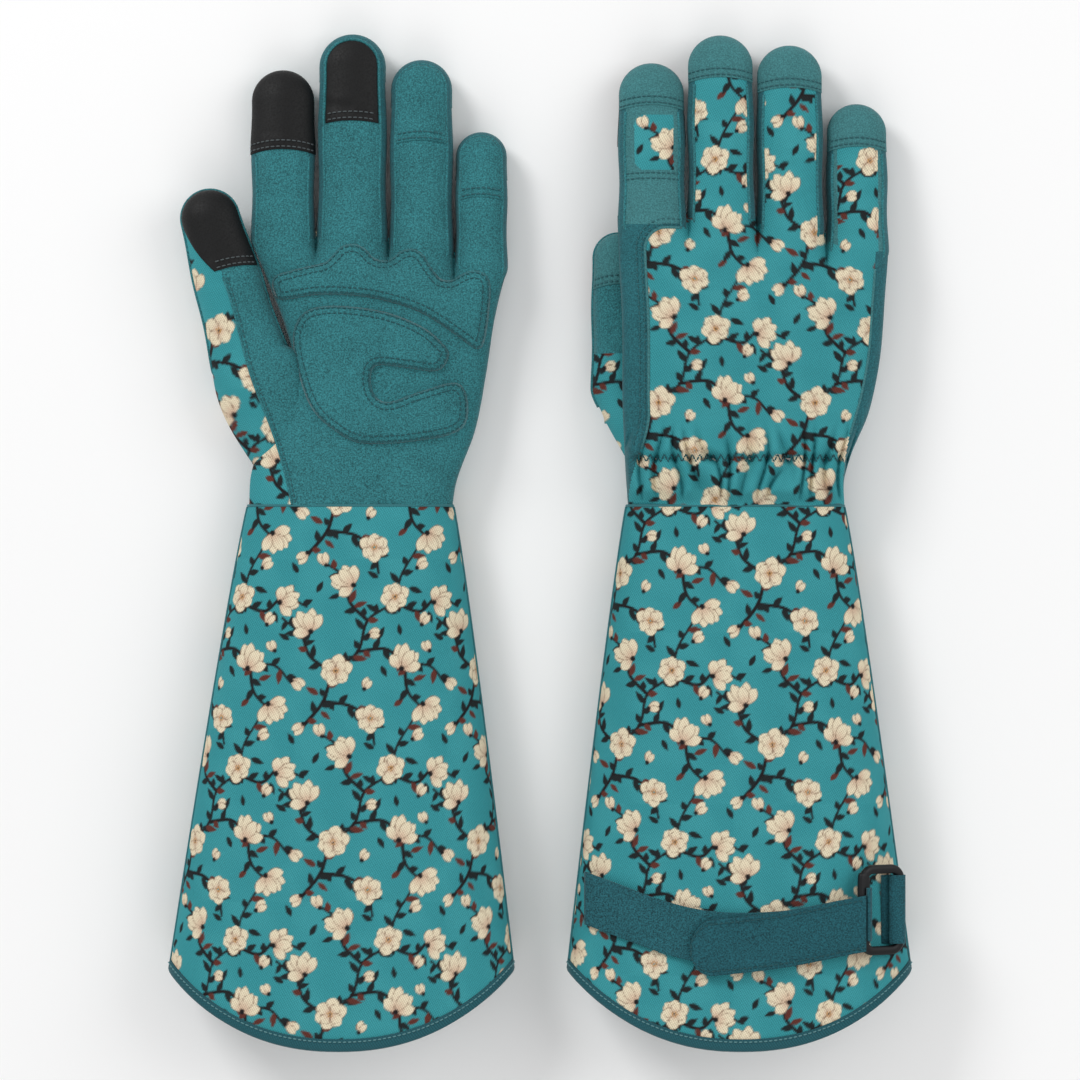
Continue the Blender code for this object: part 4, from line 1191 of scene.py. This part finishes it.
def windowSeam(side, digit, sideSign, body):
    # two rows of stitches across the index finger, below its printed window
    for number, u in enumerate((digitLook["window"][0] - 1.6, digitLook["window"][0] - 4.0)):
        path, normals = digit.crossPath(sideSign, u, 24, 0.12, 0.6)
        row = stitchRow(path, normals, 2.3, 1.75, 0.28)
        stitchPiece(f"{side}_index_windowStitches_{number}", [row], threadTeal, body, "suede")


def buildThumb(side, glove, handPieces):
    spec = glove["thumb"]
    palm = glove["palm"]
    joint = f"{side}_thumb_bend" if side == "left" else f"{side}_thumb_swing"
    hinge = jointPlace(joint)
    digit = DigitTube(spec, hinge, spec["height"], 91)
    body = f"{side}_thumb"
    q = np.linspace(0, 3, digitLook["around"] + 1)[:, None]
    steps = np.linspace(0, math.pi / 2, digitLook["panelSteps"] + 10)[None, :]
    axis = np.array([digit.along[0], digit.along[1], 0])
    for part, rise, tint in (("front", steps * palm, "suede"), ("back", steps * -palm, "print")):
        grid = digit.surface(q, rise)
        colour = printColour(grid[..., 0], grid[..., 1], glove["printShift"])
        x, y = faceCentres(grid)
        if part == "front":
            plain = ~isPrintedPalm(glove, x, y)
        else:
            plain = y > hinge[1] + spec["plainFrom"]
        piece = gridPiece(f"{side}_thumb_{part}Cloth", grid, [printed, suede], flip=rise[0, -1] < 0, colour=colour,
                          cloth=drape(grid), slots=plain.astype(int).ravel())
        closeSeams(piece)
        front = piece if part == "front" else front
        blendAcross(piece, f"{side}_hand", body, joint, axis, 9, tint, f"{side}_thumb_{part}")
    path, normals = digit.rimPath(0.0, 0.15, 0.1, 2.9, 200)
    pipe = meshPiece(f"{side}_thumb_welt", *tubeMesh(path, 0.8, 8, up=normals), [suede])
    blendAcross(pipe, f"{side}_hand", body, joint, axis, 9, "suede")
    start = digit.length - digitLook["palmTips"]["thumb"]
    tipPatch(f"{side}_thumb_touchPatch", digit, palm, start, body, touchSkin, "touch", 12, 0.45,
             f"{side}_thumb_touch_tip", threadGrey, spec["slant"])
    tipPatch(f"{side}_thumb_backCap", digit, -palm, digit.length - 24, body, suedeBack, "suede", 12)
    # root: a soft elbow from the side of the hand to the thumb's hinge
    centre, heading, halfLength, halfHeight = spec["root"]
    heading = math.radians(heading)
    turn = np.linspace(0, 2 * math.pi, 121)[:-1][None, :]
    mouth = np.stack([centre[0] + math.cos(heading) * halfLength * np.cos(turn),
                      centre[1] + math.sin(heading) * halfLength * np.cos(turn),
                      centre[2] + halfHeight * np.sin(turn)], axis=-1)
    half, height = digit.sizes(np.float64(3.0), 0.0)
    end = digit.place(3.0 + 0 * turn, half * np.cos(turn), height * np.sin(turn))
    share = np.linspace(0, 1, 60)[:, None, None]
    grid = mouth + (end - mouth) * share
    outward = grid - grid.mean(axis=1, keepdims=True)
    outward /= np.linalg.norm(outward, axis=2, keepdims=True)
    bulge = np.sin(share * math.pi) * (1.2 + spec["swell"] * np.maximum(0, -outward[..., :1]) ** 1.5)
    grid = grid + outward * bulge
    grid[..., 2] = np.maximum(grid[..., 2], 0.05)
    colour = printColour(grid[..., 0], grid[..., 1], glove["printShift"])
    looped = np.concatenate([grid, grid[:, :1]], axis=1)
    x, y = faceCentres(looped)
    upper = np.sin(turn + (turn[0, 1] - turn[0, 0]) / 2) * palm > 0.1
    slots = (upper & ~isPrintedPalm(glove, x, y)).astype(int).ravel()
    piece = gridPiece(f"{side}_thumbRootCloth", grid, [printed, suede], wrap=True, colour=colour, cloth=drape(grid),
                      slots=slots)
    faceOut(piece)
    blendAcross(piece, f"{side}_hand", body, joint, axis, 9, "print", f"{side}_thumb_root")
    seam = glove["printSeam"]
    seamEnd = hinge[1] + start - 3
    for part, first, last, target in (("Low", 14.0, hinge[1], f"{side}_hand"), ("High", hinge[1], seamEnd, body)):
        y = np.linspace(first, last, 60)
        path = np.stack([ease(seam, y), y], axis=1)
        over = [handPieces["palm"], piece] if part == "Low" else [front]
        sew(f"{side}_thumbSeam{part}", over, path, palm, target, threadTeal, "suede", welt=0.5, weltMaterial=suede)
        sew(f"{side}_thumbStitches{part}", over, sideways(path, -1.6), palm, target, threadTeal, "suede")
    return digit


padLook = {
    # outlines over the palm, in mm: from the wrist end of the thumb side, and up from the wrist seam
    "knuckle": [
        (10.5, 96.9), (18, 99.6), (26, 101.6), (32.5, 103.2), (36, 106.5), (39.5, 109.8), (45, 110.8), (49.5, 108.8),
        (53, 105.2), (57, 104.0), (61, 105.2), (64.5, 107.8), (69.5, 108.8), (74, 106.4), (77.5, 101), (81.5, 96.2),
        (86, 95.8), (90.5, 98.2), (95.5, 99.6), (100.4, 98.0), (102.6, 93), (101.8, 80.0), (99.6, 68.5), (96, 66.6),
        (89.7, 71.0), (73.6, 81.4), (57.5, 86.8), (43, 89.0), (29.1, 89.2), (14, 87.4), (10.4, 90.6)],
    "heel": [
        (19.6, 76), (24.9, 82.5), (37.2, 84.6), (57.5, 82), (73.6, 75.7), (82.5, 68.5), (85, 63.4), (80, 57),
        (66, 58.4), (54.6, 59.2), (52, 53.6), (54.1, 46.2), (60.1, 43.9), (74, 48.6), (87.6, 52.0), (92.6, 46.6),
        (92.4, 35.6), (86.0, 30.2), (72.0, 27.4), (57.5, 26.1), (45.2, 27), (33.4, 34.2), (26.6, 41.8), (21.9, 53.6),
        (18.8, 67)],
    "rise": 2.7, "soft": 5.5, "step": 1.0,
}


def distanceTo(loop, points):
    # the distance from each point to the nearest side of a closed outline
    start, side = loop, np.roll(loop, -1, axis=0) - loop
    away = points[:, None] - start[None]
    share = np.clip((away * side).sum(axis=2) / np.maximum((side**2).sum(axis=1), 1e-9), 0, 1)
    return np.sqrt((((away - share[..., None] * side) ** 2).sum(axis=2)).min(axis=1))


def isInside(loop, points):
    # counts the outline's sides that lie to the right of each point
    a, b = loop, np.roll(loop, -1, axis=0)
    x, y = points[:, :1], points[:, 1:]
    crosses = (a[:, 1] > y) != (b[:, 1] > y)
    rise = np.where(np.abs(b[:, 1] - a[:, 1]) < 1e-9, 1e-9, b[:, 1] - a[:, 1])
    at = a[:, 0] + (y - a[:, 1]) / rise * (b[:, 0] - a[:, 0])
    return (crosses & (x < at)).sum(axis=1) % 2 == 1


def buildPad(side, glove, hand, label, node):
    # a quilted patch: its height rises with the root of the distance from its outline
    palm = glove["palm"]
    edge = np.array([glove["thumbSide"][0][1], hand.wrist])
    loop = smoothLoop(padLook[label], 420) + edge
    step = padLook["step"]
    loop = evenly(np.concatenate([loop, loop[:1]]), step * 0.8)[:-1]
    low, high = loop.min(axis=0), loop.max(axis=0)
    x, y = np.meshgrid(np.arange(low[0], high[0], step), np.arange(low[1], high[1], step))
    inner = np.stack([x.ravel(), y.ravel()], axis=1)
    inner = inner[isInside(loop, inner)]
    inner = inner[distanceTo(loop, inner) > step * 0.6]
    count = len(loop)
    flat = [Vector(point) for point in np.concatenate([loop, inner])]
    sides = [(i, (i + 1) % count) for i in range(count)]
    points, _, faces = delaunay_2d_cdt(flat, sides, [list(range(count))], 1, 1e-5)[:3]
    points = np.array([tuple(point) for point in points])

    def lifted(at, inside):
        # a soft quilt: a rounded shoulder and low lumps, flatter towards the knuckles
        share = 1 - np.clip(inside / padLook["soft"], 0, 1)
        lumps = 0.2 * ripple(at[:, 0], at[:, 1], 12, 31)
        lift = 0.10 + (padLook["rise"] + lumps) * np.sqrt(np.maximum(0, 1 - share**2))
        towards = smooth(hand.knuckles(at[:, 0]) - 14, hand.knuckles(at[:, 0]) - 4, at[:, 1])
        lift = lift * (1 - 0.45 * towards)
        height = hand.height(at[:, 0], at[:, 1], palm) + palm * lift
        return np.stack([at[:, 0], at[:, 1], np.maximum(height, 0.05)], axis=1)

    inside = distanceTo(loop, points)
    inside = inside * (1 - np.isclose(inside, 0))
    faces = [list(face) if palm > 0 else list(face)[::-1] for face in faces]
    piece = meshPiece(f"{side}_{label}PadCloth", lifted(points, inside), faces, [suede])
    skirt = piece.modifiers.new("wall", "SOLIDIFY")
    skirt.thickness = 0.6 * mm
    skirt.offset = -1
    ride(piece, f"{side}_hand", "suede", node)
    closed = np.concatenate([loop, loop[:2]])
    area = 0.5 * np.sum(loop[:, 0] * np.roll(loop[:, 1], -1) - np.roll(loop[:, 0], -1) * loop[:, 1])
    rows = []
    for inset in (0.9, 3.2):
        line = sideways(closed, inset * (1 if area > 0 else -1))
        place = lifted(line, np.full(len(line), inset)) + np.array([0, 0, palm * 0.12])
        rows.append(stitchRow(place, np.tile((0, 0, float(palm)), (len(place), 1)), 2.3, 1.7, 0.25, 0.14))
    stitchPiece(f"{side}_{label}PadStitches", rows, threadPad, f"{side}_hand", "suede")


strapLook = {
    "width": 22.0, "thick": 1.5, "tabWidth": 23.5, "tabThick": 1.7, "clear": 0.8, "layerGap": 0.35,
    # the top edges of the strap and of the tab: shares of their lengths, and heights in mm
    "top": [(0, -141.0), (0.5, -156.5), (0.8, -156.6), (1, -153.5)],
    "tabTop": [(0, -161.0), (0.5, -157.0), (1, -150.0)],
}
buckleLook = {"length": 38.0, "width": 22.0, "thick": 3.2, "bar": 3.8, "innerBar": 5.4, "corner": 4.5}


# a strip on the cuff's back between two places across: its top edge is a curve, and a round end shrinks it by
# the root of one less a power of the distance into the end
def strapGrid(tube, x0, x1, top, width, above, columns=110, rows=26, roundEnd=0.0):
    share = np.linspace(0, 1, columns) ** (1.6 if roundEnd else 1.0)
    x = x0 + (x1 - x0) * share
    edge = ease(top, share)
    shrink = np.ones_like(x)
    if roundEnd:
        into = np.clip((x0 + roundEnd - x) / roundEnd, 0, 1)
        shrink = np.sqrt(np.maximum(1 - into**2.2, 0.0025))
    across = np.linspace(-0.5, 0.5, rows)[:, None]
    y = (edge - width / 2)[None, :] - across * width * shrink[None, :]
    x = x[None, :] * np.ones_like(y)
    away = -tube.glove["palm"]
    z = tube.back(x, y) + away * above
    return np.stack([x, y, z], axis=-1)


def buckleFrame(tube):
    # the loop's middle, its two directions, and how far its inner bar is from the middle
    glove = tube.glove
    away = -glove["palm"]
    tilt = math.radians(glove["buckleTilt"])
    bar = (buckleLook["width"] - 4.0) / 2
    inner = jointPlace(f"{tube.side}_strap_peel")
    across = np.array([math.cos(tilt), 0, -away * math.sin(tilt)])
    out = np.array([math.sin(tilt), 0, away * math.cos(tilt)])
    return inner + across * bar, across, out, bar


def buildStrap(side, glove, tube):
    # the sewn strap, the tab that lies on it, and the tab's fold round the loop's inner bar
    away = -glove["palm"]
    middle, across, out, bar = buckleFrame(tube)
    above = strapLook["clear"] + strapLook["thick"]
    base = strapGrid(tube, *glove["strap"], strapLook["top"], strapLook["width"], above)
    piece = gridPiece(f"{side}_strapBand", base, loopPile, flip=away > 0, wall=strapLook["thick"])
    ride(piece, f"{side}_cuff", "webbing", f"{side}_strap_base")
    end = middle[0] - across[0] * (bar - 1.0)
    above += strapLook["layerGap"] + strapLook["tabThick"]
    tab = strapGrid(tube, glove["tab"], end, strapLook["tabTop"], strapLook["tabWidth"], above, roundEnd=10.0)
    # the last stretch climbs over the buckle's bar
    rise = smooth(end - 14, end, tab[..., 0])
    target = middle[2] - across[2] * bar + away * (buckleLook["thick"] / 2 + 1.9)
    tab[..., 2] = tab[..., 2] * (1 - rise) + target * rise
    piece = gridPiece(f"{side}_strapTabCloth", tab, webbing, flip=away > 0, wall=strapLook["tabThick"])
    ride(piece, f"{side}_strap_tab", "webbing", f"{side}_strap_tab_end")
    radius = buckleLook["thick"] / 2 + 1.9
    turn = np.linspace(math.pi / 2, -math.pi / 2, 14)
    y = np.linspace(-strapLook["tabWidth"] / 2 + 0.6, strapLook["tabWidth"] / 2 - 0.6, 20)
    axis = middle - across * bar
    ring = axis + np.cos(turn)[:, None] * across * radius + np.sin(turn)[:, None] * out * radius
    fold = np.array([ring + np.array([0, place - 1.5, 0]) for place in y])
    piece = gridPiece(f"{side}_strapFold", fold, webbing, flip=True, wall=1.4)
    faceOut(piece)
    ride(piece, f"{side}_buckle", "webbing")
    # edge stitching on the tab
    lift = np.array([0, 0, float(away)])
    rows = [stitchRow(path + lift * 0.1, np.tile(lift, (len(path), 1)), 2.2, 1.6, 0.26)
            for path in (tab[2], tab[-3], tab[3:-3, 4])]
    stitchPiece(f"{side}_tabStitches", rows, threadPad, f"{side}_strap_tab", "webbing")


def buildBuckle(side, tube):
    # a moulded loop: a rounded section carried round a rounded rectangle, with a thicker inner bar
    middle, across, out, _ = buckleFrame(tube)
    turn = np.linspace(0, 2 * math.pi, 97)[:-1]
    corner = buckleLook["corner"]
    halfX = buckleLook["width"] / 2 - buckleLook["bar"] / 2
    halfY = buckleLook["length"] / 2 - buckleLook["bar"] / 2
    x = np.clip(np.cos(turn) * 60, -(halfX - corner), halfX - corner) + corner * np.cos(turn)
    y = np.clip(np.sin(turn) * 60, -(halfY - corner), halfY - corner) + corner * np.sin(turn)
    path = np.stack([x, y], axis=1)
    loop = np.vstack([path, path[:1]])
    even = walk(loop, loop, np.linspace(0, 1, 200, endpoint=False) * pathLengths(loop)[-1])
    ahead = unit(np.roll(even, -1, axis=0) - np.roll(even, 1, axis=0))
    outward = np.stack([ahead[:, 1], -ahead[:, 0]], axis=1)
    wide = np.where(even[:, 0] < -halfX + 0.5, buckleLook["innerBar"], buckleLook["bar"]) / 2
    ring = np.linspace(0, 2 * math.pi, 21)[:-1]
    power = 2 / 3.2
    flat = np.sign(np.cos(ring)) * np.abs(np.cos(ring)) ** power
    tall = np.sign(np.sin(ring)) * np.abs(np.sin(ring)) ** power * buckleLook["thick"] / 2
    shift = even[:, None] + outward[:, None] * (flat[None, :] * wide[:, None])[..., None]
    points = middle + shift[..., :1] * across + shift[..., 1:] * np.array([0, 1.0, 0]) + tall[None, :, None] * out
    piece = gridPiece(f"{side}_loopBuckle", points, moulded, wrap=True, closed=True)
    faceOut(piece)
    ride(piece, f"{side}_buckle", "moulded", f"{side}_buckle_loop")
    # keeper: webbing from the cuff's side seam round the outer bar
    halfLength = buckleLook["length"] / 2 - buckleLook["bar"] - 0.8
    y = np.linspace(-halfLength, halfLength, 26)[:, None]
    turn = np.linspace(-math.pi / 2, math.pi / 2, 12)
    barPlace = middle + across * halfX
    radius = buckleLook["thick"] / 2 + 0.9
    around = np.stack([radius * np.cos(turn), radius * np.sin(turn)], axis=1)
    profile = np.concatenate([[[-7.0, -radius - 1.2], [-4.0, -radius - 0.4]], around,
                              [[-2.6, radius - 0.1], [-5.4, radius * 0.1]]])
    rows = barPlace + profile[None, :, :1] * across + profile[None, :, 1:] * out + y[..., None] * np.array([0, 1.0, 0])
    keeper = gridPiece(f"{side}_keeperWeb", rows, webbing, wall=0.9)
    faceOut(keeper)
    ride(keeper, f"{side}_cuff", "webbing", f"{side}_buckle_keeper")


for side, glove in gloves.items():
    cuff = buildCuff(side, glove)
    buildBinding(side, cuff)
    digits = buildDigits(side, glove)
    hand = HandTube(side, glove, digits)
    handPieces = buildHand(side, glove, hand)
    buildThumb(side, glove, handPieces)
    buildPad(side, glove, hand, "knuckle", f"{side}_knuckle_pad")
    buildPad(side, glove, hand, "heel", f"{side}_heel_pad")
    buildStrap(side, glove, cuff)
    buildBuckle(side, cuff)
    band = frame["nodes"][f"{side}_wrist_elastic"]
    band.data.materials.clear()
    band.data.materials.append(elasticWeave)
    print(side, "glove: made")


stageLook = {"floor": 4.0, "paper": (0.93, 0.93, 0.93), "height": 2.2, "span": 0.4575, "lamp": 19.0, "room": 0.55}

floorMesh = bpy.data.meshes.new("floor")
reach = stageLook["floor"] / 2
corners = [(x * reach, y * reach, -0.0006) for x, y in ((-1, -1), (1, -1), (1, 1), (-1, 1))]
floorMesh.from_pydata(corners, [], [(0, 1, 2, 3)])
floor = bpy.data.objects.new("floor", floorMesh)
bpy.context.scene.collection.objects.link(floor)
paper = bpy.data.materials.new("paper")
paper.use_nodes = True
paper.node_tree.nodes["Principled BSDF"].inputs["Base Color"].default_value = (*stageLook["paper"], 1)
paper.node_tree.nodes["Principled BSDF"].inputs["Roughness"].default_value = 0.9
floorMesh.materials.append(paper)


def softLamp(name, place, size, power):
    data = bpy.data.lights.new(name, "AREA")
    data.energy = power
    data.size = size
    lamp = bpy.data.objects.new(name, data)
    lamp.location = place
    lamp.rotation_euler = (-Vector(place)).to_track_quat("-Z", "Y").to_euler()
    bpy.context.scene.collection.objects.link(lamp)


softLamp("keyLamp", (-1.2, 1.3, 1.3), 0.7, stageLook["lamp"])
softLamp("fillLamp", (1.3, 0.5, 1.2), 1.2, stageLook["lamp"] * 0.45)
softLamp("frontLamp", (0.0, -1.3, 1.0), 1.2, stageLook["lamp"] * 0.3)
world = bpy.data.worlds.new("room")
world.use_nodes = True
world.node_tree.nodes["Background"].inputs["Color"].default_value = (1, 1, 1, 1)
world.node_tree.nodes["Background"].inputs["Strength"].default_value = stageLook["room"]
bpy.context.scene.world = world
bpy.context.scene.view_settings.view_transform = "Standard"

cameraData = bpy.data.cameras.new("camera")
camera = bpy.data.objects.new("camera", cameraData)
camera.location = (0, -0.00106, stageLook["height"])
cameraData.type = "PERSP"
cameraData.angle = 2 * math.atan(stageLook["span"] / 2 / (stageLook["height"] - 0.022))
bpy.context.scene.collection.objects.link(camera)
bpy.context.scene.camera = camera
